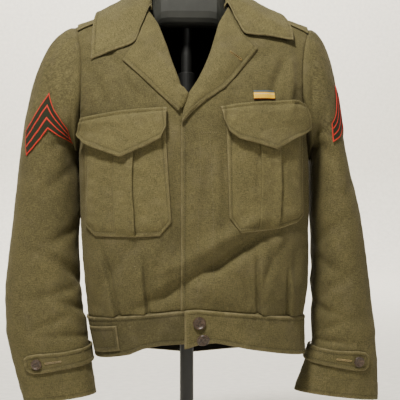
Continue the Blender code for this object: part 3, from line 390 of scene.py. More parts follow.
def sleeve_normal(table, sign, along, angle):
    step = 0.02
    up = sleeve_at(table, sign, along - step, angle) - sleeve_at(table, sign, along + step, angle)
    round_ = sleeve_at(table, sign, along, angle + step) - sleeve_at(table, sign, along, angle - step)
    normal = np.cross(up, round_) * sign
    return normal / np.maximum(np.linalg.norm(normal, axis=-1, keepdims=True), 1e-12)


def sleeve_out(side, along, angle, out):
    table = SLEEVE_RIGHT if side == "right" else SLEEVE_LEFT
    creases = CREASES_RIGHT if side == "right" else CREASES_LEFT
    sign = -1 if side == "right" else 1
    points = sleeve_at(table, sign, along, angle)
    normal = sleeve_normal(table, sign, np.maximum(along, 0.06), angle)
    fine = SLEEVE_FOLDS_RIGHT if side == "right" else SLEEVE_FOLDS_LEFT
    fine = sleeve_creases(fine, along, angle)
    return moved_out(points, normal, sleeve_relief(creases, along, angle) + fine + out)


def polyline(points, at):
    """Points along a line of corners; at runs 0 to 1 with the same share for each corner."""
    points = np.asarray(points, float)
    place = np.linspace(0, 1, len(points))
    return np.stack([np.interp(at, place, points[:, k]) for k in range(points.shape[1])], axis=-1)


def patch(lower, upper, columns, rows):
    """Grid of (x, z) between a lower and an upper line."""
    low = polyline(lower, columns)
    high = polyline(upper, columns)
    share = rows[:, None, None]
    return low[None] * (1 - share) + high[None] * share


# Outlines on the front, as (x, z) from the wearer's right to the left
POCKET_RIGHT_LOW = [(-0.1740, 0.4360), (-0.1560, 0.4180), (-0.1280, 0.4175), (-0.0960, 0.4170),
                    (-0.0575, 0.4190), (-0.0390, 0.4410)]
POCKET_RIGHT_TOP = [(-0.1740, 0.5900), (-0.1560, 0.5920), (-0.1280, 0.5930), (-0.0960, 0.5940),
                    (-0.0640, 0.5960), (-0.0490, 0.5960)]
POCKET_LEFT_LOW = [(0.0500, 0.4470), (0.0670, 0.4240), (0.1020, 0.4265), (0.1280, 0.4290),
                   (0.1610, 0.4390), (0.1720, 0.4500)]
POCKET_LEFT_TOP = [(0.0450, 0.6010), (0.0600, 0.6020), (0.0980, 0.6050), (0.1250, 0.6080),
                   (0.1570, 0.6080), (0.1700, 0.6070)]
FLAP_RIGHT_LOW = [(-0.1770, 0.5800), (-0.1740, 0.5720), (-0.1640, 0.5610), (-0.1140, 0.5410),
                  (-0.0790, 0.5570), (-0.0550, 0.5695), (-0.0465, 0.5880)]
FLAP_RIGHT_TOP = [(-0.1770, 0.6070), (-0.1740, 0.6070), (-0.1640, 0.6080), (-0.1140, 0.6140),
                  (-0.0790, 0.6165), (-0.0550, 0.6180), (-0.0465, 0.6180)]
FLAP_LEFT_LOW = [(0.0400, 0.5980), (0.0480, 0.5800), (0.0630, 0.5690), (0.0860, 0.5630),
                 (0.1190, 0.5540), (0.1640, 0.5780), (0.1770, 0.5930)]
FLAP_LEFT_TOP = [(0.0360, 0.6190), (0.0480, 0.6210), (0.0630, 0.6240), (0.0860, 0.6270),
                 (0.1190, 0.6300), (0.1600, 0.6340), (0.1720, 0.6290)]
PLEAT_HALF = 0.0150
POCKET_SWELL = 0.0050

# Lapels: fold line from the bottom up, outer edge from the bottom up, and the gorge from the fold out
LAPEL_RIGHT_FOLD = [(-0.0268, 0.6130), (-0.0185, 0.6270), (-0.0155, 0.6400), (-0.0277, 0.6540),
                    (-0.0400, 0.6900), (-0.0470, 0.7150), (-0.0600, 0.7550), (-0.0735, 0.7800)]
LAPEL_RIGHT_EDGE = [(-0.0300, 0.6125), (-0.0421, 0.6242), (-0.0542, 0.6360), (-0.0664, 0.6477),
                    (-0.0785, 0.6594), (-0.0906, 0.6711), (-0.1030, 0.6828), (-0.1153, 0.6946)]
LAPEL_RIGHT_TOP = [(-0.0735, 0.7800), (-0.0800, 0.7600), (-0.0865, 0.7420), (-0.0940, 0.7220),
                   (-0.1050, 0.7080), (-0.1153, 0.6946)]
LAPEL_LEFT_FOLD = [(-0.0242, 0.5945), (-0.0180, 0.6160), (-0.0095, 0.6395), (0.0030, 0.6586),
                   (0.0140, 0.6800), (0.0240, 0.7050), (0.0385, 0.7550), (0.0555, 0.7870)]
LAPEL_LEFT_EDGE = [(-0.0225, 0.5940), (-0.0060, 0.6120), (0.0140, 0.6287), (0.0290, 0.6390),
                   (0.0439, 0.6494), (0.0600, 0.6665), (0.0770, 0.6880), (0.0992, 0.7156)]
LAPEL_LEFT_TOP = [(0.0555, 0.7870), (0.0590, 0.7700), (0.0640, 0.7530), (0.0760, 0.7330),
                  (0.0860, 0.7240), (0.0992, 0.7156)]

# Waistband: its height along the front, from the wearer's right side seam to the left one
BAND_PLACES = (-0.170, -0.110, -0.085, -0.055, -0.016, 0.012, 0.030, 0.080, 0.186)
BAND_HEIGHTS = (0.065, 0.060, 0.053, 0.050, 0.052, 0.052, 0.049, 0.055, 0.063)
TAB_END = -0.0190       # buttoned end of the band, over the right one
TAB_DROP = 0.0075       # the end hangs lower than the band beside it
BACK_BAND = 0.062
DRAW_IN = 0.015         # the band's lower edge is drawn in at the wearer's right side

def band_at(table, x, down, out, over=0.0):
    """Point of the waistband; down runs 0 to 1 from the seam to the bottom edge."""
    x, down = np.broadcast_arrays(np.asarray(x, float), np.asarray(down, float))
    flat = np.zeros(x.shape)
    top = torso_at(table, x, flat)
    step = 0.0005
    ahead = torso_at(table, x + step, flat) - torso_at(table, x - step, flat)
    normal = stack(ahead[..., 1], -ahead[..., 0], flat)
    normal = normal / np.maximum(np.linalg.norm(normal, axis=-1, keepdims=True), 1e-12)
    if table is FRONT:
        high = np.interp(x, BAND_PLACES, BAND_HEIGHTS) + over * TAB_DROP * bump(x, TAB_END, 0.022)
        rise = over * lap(x, 0.0)
    else:
        normal = -normal
        high = np.full(x.shape, BACK_BAND)
        rise = 0.0
    points = moved_out(top, normal, 0.0022 + 0.0012 * down ** 2 + rise + out)
    points[..., 0] += DRAW_IN * down * ramp(-x, 0.06, 0.17)
    points[..., 2] -= SEAM * 3 + high * down
    return points


# Cuff straps, as (angle round the sleeve, place along it): the round end first
CUFF_LOW = [(51, 4.74), (53, 4.94), (60, 5.04), (75, 5.07), (105, 5.03),
            (140, 5.00), (175, 4.93), (205, 4.86)]
CUFF_TOP = [(51, 4.66), (53, 4.46), (60, 4.36), (75, 4.33), (105, 4.38),
            (140, 4.36), (175, 4.28), (205, 4.24)]

def along_sleeve(side, centre, start, across, down):
    """Turns distances across and down a sleeve into its angle and place along it."""
    places = np.linspace(0.0, 6.0, 181)
    line = sleeve_out(side, places, np.full(places.shape, centre), 0.0)
    length = np.concatenate([[0.0], np.cumsum(np.linalg.norm(np.diff(line, axis=0), axis=1))])
    zero = np.interp(start, places, length)
    along = np.interp(zero + down, length, places)
    turns = centre + np.radians(np.linspace(-110, 110, 89))
    ring = sleeve_out(side, along[..., None], np.broadcast_to(turns, (*along.shape, len(turns))), 0.0)
    steps = np.linalg.norm(np.diff(ring, axis=-2), axis=-1)
    reached = np.concatenate([np.zeros((*along.shape, 1)), np.cumsum(steps, axis=-1)], axis=-1)
    middle = reached[..., len(turns) // 2]
    angle = np.empty(along.shape)
    for place in np.ndindex(along.shape):
        angle[place] = np.interp(across[place] + middle[place], reached[place], turns)
    return along, angle


# Chevron patch, in metres across and down from its upper point
CHEVRON_TOP = [(-0.045, 0.050), (-0.030, 0.040), (-0.015, 0.023), (0.0, 0.0),
               (0.015, 0.023), (0.030, 0.040), (0.045, 0.050)]
CHEVRON_LOW = [(-0.045, 0.090), (-0.030, 0.084), (-0.015, 0.074), (0.0, 0.058),
               (0.015, 0.074), (0.030, 0.084), (0.045, 0.090)]
# Where its upper point sits (angle round the sleeve, place along it) and how the patch is turned there
Spot = namedtuple("Spot", "angle along tilt shear bow")
CHEVRON_RIGHT = Spot(65, 0.455, -20, -0.24, -2.4)
CHEVRON_LEFT = Spot(32, 0.480, 0, 0.0, 0.0)


def on_sleeve(side, spot, across, down):
    """Turns places on the flat patch into angle and place along the sleeve."""
    tilt = math.radians(spot.tilt)
    wide = across * math.cos(tilt) - down * math.sin(tilt)
    fall = across * math.sin(tilt) + down * math.cos(tilt) + spot.shear * across + spot.bow * across ** 2
    return along_sleeve(side, math.radians(spot.angle), spot.along, wide, fall)


def shoulder_height(x, y):
    """Height of the shoulder's outer face at (x, y), close to its seam."""
    x, y = np.broadcast_arrays(np.asarray(x, float), np.asarray(y, float))
    result = np.empty(x.shape)
    for table, chosen in ((FRONT, y < 0), (BACK, y >= 0)):
        low = np.full(x.shape, 6.0)
        high = np.full(x.shape, 8.0)
        for _ in range(30):
            half = (low + high) / 2
            outer = np.abs(torso_at(table, x, half)[..., 1]) > np.abs(y)
            low = np.where(outer, half, low)
            high = np.where(outer, high, half)
        result = np.where(chosen, torso_at(table, x, low)[..., 2], result)
    return result


def shoulder_at(x, y, out):
    step = 0.001
    z = shoulder_height(x, y)
    slope_x = (shoulder_height(x + step, y) - shoulder_height(x - step, y)) / (2 * step)
    slope_y = (shoulder_height(x, y + step) - shoulder_height(x, y - step)) / (2 * step)
    normal = stack(-slope_x, -slope_y, np.ones(np.shape(z)))
    normal = normal / np.linalg.norm(normal, axis=-1, keepdims=True)
    return moved_out(stack(x, y, z), normal, out)


# Collar: one section of seven points at each station round the neck
COLLAR_FRONT_RIGHT = [(-0.0855, 0.7520), (-0.0965, 0.7250), (-0.1310, 0.7120), (-0.1650, 0.6980)]
COLLAR_SIDE_RIGHT = [(-0.0900, 0.7875), (-0.1130, 0.7770), (-0.1380, 0.7600), (-0.1635, 0.7450)]
COLLAR_FRONT_LEFT = [(0.0660, 0.7640), (0.0810, 0.7390), (0.1190, 0.7350), (0.1570, 0.7290)]
COLLAR_SIDE_LEFT = [(0.0740, 0.7915), (0.0980, 0.7825), (0.1260, 0.7670), (0.1580, 0.7460)]
COLLAR_LIFT = 0.0046

def collar_sections():
    sections = []
    lift = COLLAR_LIFT
    front = [tuple(front_at(x, z, lift)) for x, z in COLLAR_FRONT_RIGHT]
    side = [tuple(front_at(x, z, lift + extra)) for (x, z), extra in
            zip(COLLAR_SIDE_RIGHT, (0.010, 0.008, 0.005, 0.003))]
    sections.append([(-0.0690, -0.0330, 0.7860), (-0.0685, -0.0370, 0.7890),
                     (-0.0720, -0.0415, 0.7920)] + front)
    sections.append([(-0.0705, -0.0120, 0.8035), (-0.0690, -0.0140, 0.8080),
                     (-0.0735, -0.0200, 0.8150)] + side)
    sections.append([(-0.0690, 0.0060, 0.8092), (-0.0680, 0.0060, 0.8200), (-0.0765, 0.0080, 0.8370),
                     (-0.0950, 0.0090, 0.8260), (-0.1150, 0.0100, 0.8140), (-0.1370, 0.0090, 0.8010),
                     (-0.1600, 0.0070, 0.7880)])
    sections.append([(-0.0540, 0.0330, 0.8095), (-0.0540, 0.0345, 0.8280), (-0.0600, 0.0420, 0.8470),
                     (-0.0730, 0.0520, 0.8370), (-0.0860, 0.0620, 0.8220), (-0.0980, 0.0710, 0.8050),
                     (-0.1090, 0.0790, 0.7860)])
    sections.append([(-0.0080, 0.0420, 0.8110), (-0.0080, 0.0460, 0.8320), (-0.0080, 0.0560, 0.8520),
                     (-0.0080, 0.0700, 0.8440), (-0.0080, 0.0810, 0.8280), (-0.0080, 0.0895, 0.8100),
                     (-0.0080, 0.0950, 0.7900)])
    for section in (sections[3], sections[2]):
        sections.append([(-0.0160 - x, y, z) for x, y, z in section])
    side = [tuple(front_at(x, z, lift + extra)) for (x, z), extra in
            zip(COLLAR_SIDE_LEFT, (0.010, 0.008, 0.005, 0.003))]
    front = [tuple(front_at(x, z, lift)) for x, z in COLLAR_FRONT_LEFT]
    sections.append([(0.0545, -0.0120, 0.8038), (0.0530, -0.0140, 0.8080), (0.0575, -0.0200, 0.8150)] + side)
    sections.append([(0.0500, -0.0330, 0.7890), (0.0500, -0.0370, 0.7930),
                     (0.0545, -0.0415, 0.7980)] + front)
    return np.array(sections)


def lifted_clear(points):
    """Keeps the collar's fall off the fronts, the back and the shoulder straps."""
    x, y, z = points[..., 0], points[..., 1], points[..., 2]
    seam = torso_at(FRONT, x, np.full(x.shape, 8.0))[..., 2]
    below = z < seam - 0.003
    height = np.minimum(z, seam - 0.003)
    lift = COLLAR_LIFT + 0.0013 + 0.0040 * bump(y, 0.0, 0.030)
    front = torso_at(FRONT, x, level_of(FRONT, x, height))
    front = moved_out(front, torso_normal(FRONT, x, height), lift)
    back = torso_at(BACK, x, level_of(BACK, x, height))
    back = moved_out(back, -torso_normal(BACK, x, height), lift)
    y = np.where(below & (y < 0), np.minimum(y, front[..., 1]), y)
    y = np.where(below & (y >= 0), np.maximum(y, back[..., 1]), y)
    near = (np.abs(y) < 0.03) & (np.abs(x + 0.008) > 0.078)
    over = shoulder_height(x, np.clip(y, -0.03, 0.03)) + 0.0085
    z = np.where(near & ~below, np.maximum(z, over), z)
    return stack(x, y, z)


# Fine forms of the cloth
WELT = 0.0062           # from an edge to its line of stitching
FINE = 0.0011
ZONE = 0.0090


def edge_steps(long, coarse, low_edge=True, high_edge=True):
    """Shares of a length, closer together beside the edges that are turned and sewn."""
    near = np.arange(0, ZONE, FINE) / long
    inner_low = near[-1] + FINE / long if low_edge else 0.0
    inner_high = 1 - inner_low if high_edge else 1.0
    if low_edge and not high_edge:
        inner_high = 1.0
    if high_edge and not low_edge:
        inner_high = 1 - near[-1] - FINE / long
    count = max(int(long / coarse), 3)
    parts = [np.linspace(inner_low, inner_high, count)]
    if low_edge:
        parts.insert(0, near)
    if high_edge:
        parts.append(1 - near[::-1])
    return np.unique(np.round(np.concatenate(parts), 6))


def lengths(points):
    """Distances along the rows and the columns of a grid, from its first to its last line."""
    across = np.linalg.norm(np.diff(points, axis=1), axis=-1)
    up = np.linalg.norm(np.diff(points, axis=0), axis=-1)
    across = np.concatenate([np.zeros((points.shape[0], 1)), np.cumsum(across, axis=1)], axis=1)
    up = np.concatenate([np.zeros((1, points.shape[1])), np.cumsum(up, axis=0)], axis=0)
    return across, up


def rim_distance(points, sides="lrbt"):
    """How far each point is from the nearest sewn edge."""
    across, up = lengths(points)
    away = np.full(across.shape, 1.0)
    if "l" in sides:
        away = np.minimum(away, across)
    if "r" in sides:
        away = np.minimum(away, across[:, -1:] - across)
    if "b" in sides:
        away = np.minimum(away, up)
    if "t" in sides:
        away = np.minimum(away, up[-1:] - up)
    return away


def welt(away, high=0.0007, line=WELT):
    """Turned edge: rounded rim, the seam's thickness inside it, and the dip of the stitching."""
    swell = high * ramp(away, 0.0, 0.0020) * (1 - ramp(away, line - 0.0014, line + 0.0022))
    return swell - 0.00060 * bump(away, line + 0.0004, 0.0012) - 0.0008 * np.exp(-(away / 0.0007) ** 2)


def ripple(x, z, seed, size):
    """Soft uneven swell of cloth that no fold explains, about one unit high."""
    total = np.zeros(np.broadcast(x, z).shape)
    for k in range(6):
        turn = seed * 1.7 + k * 2.399
        pace = (1 + 0.37 * k) / size
        run = (x * math.cos(turn) + z * math.sin(turn)) * pace
        total = total + np.sin(run * 2 * math.pi + seed * 3 + k * 1.3)
    return total / 3.2


# Creases: middle (x, z), degrees from the horizontal, half length, half width, depth
Fold = namedtuple("Fold", "x z turn long wide depth")
FRONT_FOLDS = [
    Fold(-0.122, 0.690, -58, 0.040, 0.0090, -0.0042),
    Fold(-0.108, 0.672, -52, 0.036, 0.0080, 0.0030),
    Fold(-0.152, 0.650, -70, 0.034, 0.0090, -0.0030),
    Fold(0.094, 0.700, 28, 0.040, 0.0110, -0.0030),
    Fold(0.130, 0.668, 70, 0.045, 0.0090, -0.0036),
    Fold(0.153, 0.655, 82, 0.052, 0.0070, 0.0034),
    Fold(0.044, 0.664, 36, 0.040, 0.0100, -0.0024),
    Fold(0.080, 0.404, 30, 0.056, 0.0100, -0.0085),
    Fold(0.062, 0.424, 26, 0.050, 0.0100, 0.0036),
    Fold(0.034, 0.376, 30, 0.058, 0.0110, -0.0072),
    Fold(0.012, 0.396, 26, 0.050, 0.0100, 0.0034),
    Fold(-0.014, 0.350, 30, 0.050, 0.0100, -0.0060),
    Fold(-0.032, 0.372, 24, 0.040, 0.0090, 0.0024),
    Fold(-0.058, 0.322, 22, 0.044, 0.0095, -0.0046),
    Fold(0.118, 0.372, 64, 0.044, 0.0080, -0.0040),
    Fold(0.132, 0.404, 76, 0.036, 0.0080, 0.0024),
    Fold(-0.102, 0.396, 46, 0.038, 0.0095, -0.0038),
    Fold(-0.088, 0.408, 50, 0.034, 0.0090, 0.0020),
    Fold(-0.060, 0.372, 74, 0.040, 0.0080, -0.0030),
    Fold(0.012, 0.480, 84, 0.090, 0.0060, -0.0016),
    Fold(0.033, 0.470, 86, 0.090, 0.0075, 0.0020),
    Fold(0.041, 0.520, 92, 0.050, 0.0060, -0.0016),
    Fold(-0.034, 0.480, 93, 0.080, 0.0050, -0.0016),
    Fold(-0.043, 0.440, 88, 0.080, 0.0050, 0.0014),
    Fold(-0.036, 0.372, 80, 0.040, 0.0080, -0.0024),
    Fold(-0.140, 0.352, 70, 0.042, 0.0085, -0.0034),
    Fold(0.080, 0.332, 98, 0.034, 0.0070, -0.0026),
    Fold(0.160, 0.352, 95, 0.044, 0.0080, -0.0028),
    Fold(-0.176, 0.480, 84, 0.060, 0.0070, -0.0020),
    Fold(0.180, 0.470, 96, 0.070, 0.0070, -0.0020),
]
BACK_FOLDS = [
    Fold(-0.090, 0.670, 60, 0.050, 0.0130, -0.0022),
    Fold(0.096, 0.662, -58, 0.056, 0.0120, -0.0024),
    Fold(-0.040, 0.745, 10, 0.050, 0.0110, -0.0016),
    Fold(0.050, 0.350, -22, 0.055, 0.0120, -0.0030),
    Fold(-0.050, 0.366, 26, 0.050, 0.0130, -0.0028),
    Fold(0.000, 0.410, 88, 0.070, 0.0120, -0.0016),
    Fold(-0.086, 0.330, 74, 0.036, 0.0080, 0.0018),
    Fold(0.090, 0.338, -72, 0.040, 0.0080, 0.0018),
    Fold(0.020, 0.325, 95, 0.030, 0.0070, 0.0016),
    Fold(-0.020, 0.320, 86, 0.030, 0.0070, -0.0014),
]


def crease_relief(folds, x, z):
    relief = np.zeros(np.broadcast(x, z).shape)
    for fold in folds:
        # A soft trough or ridge, a little bowed, that dies out at its ends
        turn = math.radians(fold.turn)
        along = (x - fold.x) * math.cos(turn) + (z - fold.z) * math.sin(turn)
        over = (z - fold.z) * math.cos(turn) - (x - fold.x) * math.sin(turn)
        over = over + 0.12 * along ** 2 / fold.long * (1 if fold.depth < 0 else -1)
        relief = relief + 1.25 * fold.depth * bump(along, 0, fold.long) * bump(over, 0, fold.wide)
    return relief


# Creases of the sleeves: place along, angle, slant, half length in degrees, half width, depth
Slant = namedtuple("Slant", "along angle slant long wide depth")
SLEEVE_FOLDS_RIGHT = [
    Slant(1.50, 186, 0.00, 50, 0.95, 0.0062),
    Slant(0.30, 120, 0.10, 30, 0.10, -0.0043),
    Slant(0.45, 60, 0.35, 30, 0.09, -0.0026),
    Slant(0.75, 130, -0.30, 34, 0.08, -0.0038),
    Slant(1.30, 120, -0.35, 40, 0.10, -0.0029),
    Slant(2.10, 130, -0.25, 46, 0.09, -0.0043),
    Slant(2.35, 110, 0.20, 36, 0.08, 0.0023),
    Slant(2.60, 140, 0.30, 50, 0.10, -0.0049),
    Slant(2.95, 120, -0.15, 44, 0.09, -0.0038),
    Slant(3.30, 150, 0.25, 46, 0.09, -0.0043),
    Slant(3.55, 100, -0.25, 34, 0.10, -0.0026),
    Slant(3.95, 130, 0.15, 40, 0.10, -0.0032),
    Slant(2.30, 250, 0.25, 44, 0.09, -0.0041),
    Slant(2.80, 230, -0.20, 48, 0.10, -0.0043),
    Slant(3.40, 250, 0.20, 40, 0.09, -0.0032),
    Slant(1.60, 300, 0.30, 40, 0.10, -0.0026),
    Slant(0.60, 280, -0.30, 40, 0.10, -0.0035),
]
SLEEVE_FOLDS_LEFT = [
    Slant(0.25, 100, 0.10, 30, 0.10, -0.0041),
    Slant(0.55, 130, -0.30, 34, 0.08, -0.0043),
    Slant(0.90, 120, -0.20, 40, 0.10, -0.0032),
    Slant(1.50, 60, 0.30, 36, 0.12, -0.0026),
    Slant(2.05, 120, 0.25, 46, 0.10, -0.0038),
    Slant(2.50, 130, -0.25, 44, 0.09, -0.0043),
    Slant(2.85, 110, 0.30, 48, 0.10, -0.0032),
    Slant(3.25, 140, -0.20, 44, 0.09, -0.0043),
    Slant(3.60, 110, 0.20, 34, 0.10, -0.0029),
    Slant(4.05, 120, -0.12, 40, 0.10, -0.0026),
    Slant(2.25, 245, -0.25, 44, 0.09, -0.0038),
    Slant(2.75, 235, 0.25, 48, 0.10, -0.0043),
    Slant(3.35, 255, -0.20, 40, 0.09, -0.0035),
    Slant(1.40, 290, 0.25, 40, 0.10, -0.0029),
    Slant(0.65, 270, 0.30, 40, 0.10, -0.0032),
]


def sleeve_creases(folds, along, angle):
    relief = np.zeros(np.broadcast(along, angle).shape)
    degrees = np.degrees(angle)
    for fold in folds:
        away = (degrees - fold.angle + 180) % 360 - 180
        over = along - fold.along - fold.slant * away / 60
        relief = relief + fold.depth * bump(away, 0, fold.long) * bump(over, 0, fold.wide)
    return relief


def cloth_mesh(name, points, ring=False, rim=None, pleat_shade=0.0):
    """Mesh of a grid, with a map in metres along the cloth, the nearness of a sewn edge, and a line of
    painted shade along the stitching and the pleats' edges.
    """
    rows, columns = points.shape[:2]
    span = columns if ring else columns - 1
    r, c = np.meshgrid(np.arange(rows - 1), np.arange(span), indexing="ij")
    d = (c + 1) % columns
    low, high = r * columns, (r + 1) * columns
    faces = np.stack([low + c, low + d, high + d, high + c], axis=-1)
    mesh = bpy.data.meshes.new(name)
    mesh.from_pydata(points.reshape(-1, 3).tolist(), [], faces.reshape(-1, 4).tolist())
    closed = np.concatenate([points, points[:, :1]], axis=1) if ring else points
    across, up = lengths(closed)
    across = across - across[:, across.shape[1] // 2][:, None]
    up = np.broadcast_to(up[:, up.shape[1] // 2][:, None], up.shape)
    corners = [(r, c), (r, c + 1), (r + 1, c + 1), (r + 1, c)]
    u = np.stack([across[a, b] for a, b in corners], axis=-1)
    v = np.stack([up[a, b] for a, b in corners], axis=-1)
    layer = mesh.uv_layers.new(name="cloth")
    layer.data.foreach_set("uv", np.stack([u, v], axis=-1).reshape(-1))
    # nearness of a sewn edge, where the wool is paler from use and also carries a painted highlight
    worn = mesh.attributes.new("rim", "FLOAT", "POINT")
    near = np.zeros((rows, columns)) if rim is None else np.exp(-(rim / 0.0022) ** 2)
    worn.data.foreach_set("value", near.reshape(-1).astype(float))
    # painted shade along the stitching and the pleats' edges; the wool darkens its colour there
    groove_shade = mesh.attributes.new("groove", "FLOAT", "POINT")
    line = np.zeros((rows, columns)) if rim is None else bump(rim, WELT + 0.0006, 0.0014)
    line = np.maximum(line, pleat_shade)
    groove_shade.data.foreach_set("value", line.reshape(-1).astype(float))
    mesh.shade_smooth()
    return mesh


def cloth(name, points, looks, wall=CLOTH, ring=False, rim=None, held="stretched", rests=(), nodes=None,
          pleat_shade=0.0):
    """A cloth piece: a thin wall on its grid, recorded in the SHEETS list and put in its node's place."""
    mesh = cloth_mesh(name + "_cloth", points, ring, rim, pleat_shade)
    GRIDS[name] = (points, grid_normals(points))
    looks = looks if isinstance(looks, (list, tuple)) else [looks]
    for look in looks:
        mesh.materials.append(look)
    piece = bpy.data.objects.new(name + "_cloth", mesh)
    bpy.context.scene.collection.objects.link(piece)
    solid = piece.modifiers.new("wall", "SOLIDIFY")
    solid.thickness = wall
    solid.offset = -1.0
    solid.use_even_offset = False
    if len(looks) > 1:
        solid.material_offset = 1
        solid.material_offset_rim = 0
    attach(piece, "root")
    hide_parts(*(nodes or [name]))
    closed = np.concatenate([points, points[:, :1]], axis=1) if ring else points
    across, up = lengths(closed)
    wide = float(across[:, -1].max())
    tall = float(up[-1].max())
    rising = closed[1:, 1:] - closed[:-1, :-1]
    falling = closed[1:, :-1] - closed[:-1, 1:]
    one = np.linalg.norm(np.cross(rising, falling), axis=-1)
    area = min(float(one.sum() / 2), wide * tall)
    SHEETS.append((piece, wide, tall, area, held, rests))
    return piece


SHEETS = []
THREAD = []
GOLD = []
PALE = []
SLITS = []
GRIDS = {}


def smoothed(line, every):
    """Places at even distances along a line of points."""
    line = np.asarray(line)
    steps = np.concatenate([[0], np.cumsum(np.linalg.norm(np.diff(line, axis=0), axis=1))])
    count = max(int(steps[-1] / every), 2)
    at = np.linspace(0, steps[-1], count + 1)
    return np.stack([np.interp(at, steps, line[:, k]) for k in range(3)], axis=-1)


def sew(line, facing_out, rows=None, every=0.0029, share=0.68, wide=0.00044, proud=0.00014):
    """Adds a row of stitches along a line; each one sinks into the cloth at its ends."""
    rows = THREAD if rows is None else rows
    line = np.asarray(line)
    path = smoothed(line, every)
    steps = np.concatenate([[0], np.cumsum(np.linalg.norm(np.diff(line, axis=0), axis=1))])
    at = np.linspace(0, steps[-1], len(path))
    facing_out = np.asarray(facing_out)
    normals = np.stack([np.interp(at, steps, facing_out[:, k]) for k in range(3)], axis=-1)
    for k in range(len(path) - 1):
        start = path[k]
        run = path[k + 1] - path[k]
        out = normals[k] / np.linalg.norm(normals[k])
        side = np.cross(run, out)
        long = np.linalg.norm(side)
        if long < 1e-9:
            continue
        rows.append((start + run * (1 - share) / 2, run * share, side / long * wide / 2, out * proud, out))


def stitch_mesh(name, rows):
    """One mesh of all stitches: each is a low six-sided grain."""
    verts = []
    faces = []
    for start, run, side, proud, out in rows:
        n = len(verts)
        low = -out * 0.0004
        ends = [start + low, start + run + low]
        verts += [ends[0], start + run * 0.2 + side + low, start + run * 0.8 + side + low, ends[1],
                  start + run * 0.8 - side + low, start + run * 0.2 - side + low,
                  start + run * 0.2 + proud + out * 0.00022, start + run * 0.8 + proud + out * 0.00022]
        faces += [(n, n + 1, n + 6), (n + 1, n + 2, n + 7, n + 6), (n + 2, n + 3, n + 7),
                  (n + 3, n + 4, n + 7), (n + 4, n + 5, n + 6, n + 7), (n + 5, n, n + 6),
                  (n + 5, n + 4, n + 3, n + 2, n + 1, n)]
    mesh = bpy.data.meshes.new(name)
    mesh.from_pydata([tuple(v) for v in verts], [], faces)
    return mesh


def row_line(points, side, inset, first=0.0, last=1.0):
    """Line on a grid at a distance from one of its edges, and the directions out of the cloth."""
    across, up = lengths(points)
    normal = grid_normals(points)
    line = []
    out = []
    if side in "bt":
        total = points.shape[1]
        for c in range(int(first * (total - 1)), int(last * (total - 1)) + 1):
            steps = up[:, c]
            at = inset if side == "b" else steps[-1] - inset
            line.append([np.interp(at, steps, points[:, c, k]) for k in range(3)])
            out.append([np.interp(at, steps, normal[:, c, k]) for k in range(3)])
    else:
        total = points.shape[0]
        for r in range(int(first * (total - 1)), int(last * (total - 1)) + 1):
            steps = across[r]
            at = inset if side == "l" else steps[-1] - inset
            line.append([np.interp(at, steps, points[r, :, k]) for k in range(3)])
            out.append([np.interp(at, steps, normal[r, :, k]) for k in range(3)])
    return np.array(line), np.array(out)


def sew_edge(points, side, inset=WELT, first=0.0, last=1.0):
    line, out = row_line(points, side, inset, first, last)
    sew(line, out)


def find_on(name, x, z):
    """Point of a finished piece over (x, z) and the direction out of its cloth."""
    points, normal = GRIDS[name]
    flat = points.reshape(-1, 3)
    away = np.hypot(flat[:, 0] - x, flat[:, 2] - z)
    near = np.argsort(away)[:4]
    share = 1 / (away[near] + 1e-5)
    share = share / share.sum()
    out = (normal.reshape(-1, 3)[near] * share[:, None]).sum(axis=0)
    return (flat[near] * share[:, None]).sum(axis=0), out / np.linalg.norm(out)


def sew_on(name, places, rows=None, every=0.0029, wide=0.00044):
    """Sews along corners given as (x, z) on a finished piece."""
    corners = np.array(places)
    steps = np.linalg.norm(np.diff(corners, axis=0), axis=1)
    count = max(int(steps.sum() / 0.004), 2)
    at = np.linspace(0, steps.sum(), count + 1)
    run = np.concatenate([[0], np.cumsum(steps)])
    found = [find_on(name, np.interp(v, run, corners[:, 0]), np.interp(v, run, corners[:, 1])) for v in at]
    sew(np.array([f[0] for f in found]), np.array([f[1] for f in found]), rows, every, 0.68, wide)


def buttonhole(start, end, out, rows, half=0.0015, eyelet=False):
    """Worked buttonhole: a slit of painted shade with close bars of thread on both sides and at the ends."""
    start, end, out = np.array(start), np.array(end), np.array(out)
    run = end - start
    long = np.linalg.norm(run)
    side = np.cross(run / long, out)
    side = side / np.linalg.norm(side)
    count = int(long / 0.00055)
    lift = out * 0.0008
    thick = run / long * 0.00026
    for k in range(count + 1):
        at = start + run * k / count
        lean = 0.15 * math.sin(k * 2.1)
        for sign in (-1, 1):
            wide = side * sign * half * (1 + 0.10 * math.sin(k * 1.3 + sign))
            along = run / long * half * lean
            rows.append((at + side * sign * 0.00022 + lift, wide + along, thick, lift, out))
    for tip, way in ((start, -1), (end, 1)):
        for turn in np.radians([-60, -30, 0, 30, 60]):
            ray = (run / long * way * math.cos(turn) + side * math.sin(turn)) * half * 0.9
            ray_thick = np.cross(ray, out) / np.linalg.norm(ray) * 0.00026
            rows.append((tip + lift, ray, ray_thick, lift, out))
    # The slit, and the eyelet's round hole, are sheets of painted shade
    low = out * 0.0013
    SLITS.append([start - side * 0.0002 + low, end - side * 0.0003 + low, end + side * 0.0003 + low,
                  start + side * 0.0002 + low])
    if eyelet:
        ring = np.radians(np.arange(0, 360, 45))
        SLITS.append([end + (run / long * math.cos(t) + side * math.sin(t)) * 0.0011 + low * 1.15
                      for t in ring])


def slit_mesh(name):
    verts = []
    faces = []
    for outline in SLITS:
        faces.append(list(range(len(verts), len(verts) + len(outline))))
        verts += [tuple(v) for v in outline]
    mesh = bpy.data.meshes.new(name)
    mesh.from_pydata(verts, [], faces)
    return mesh


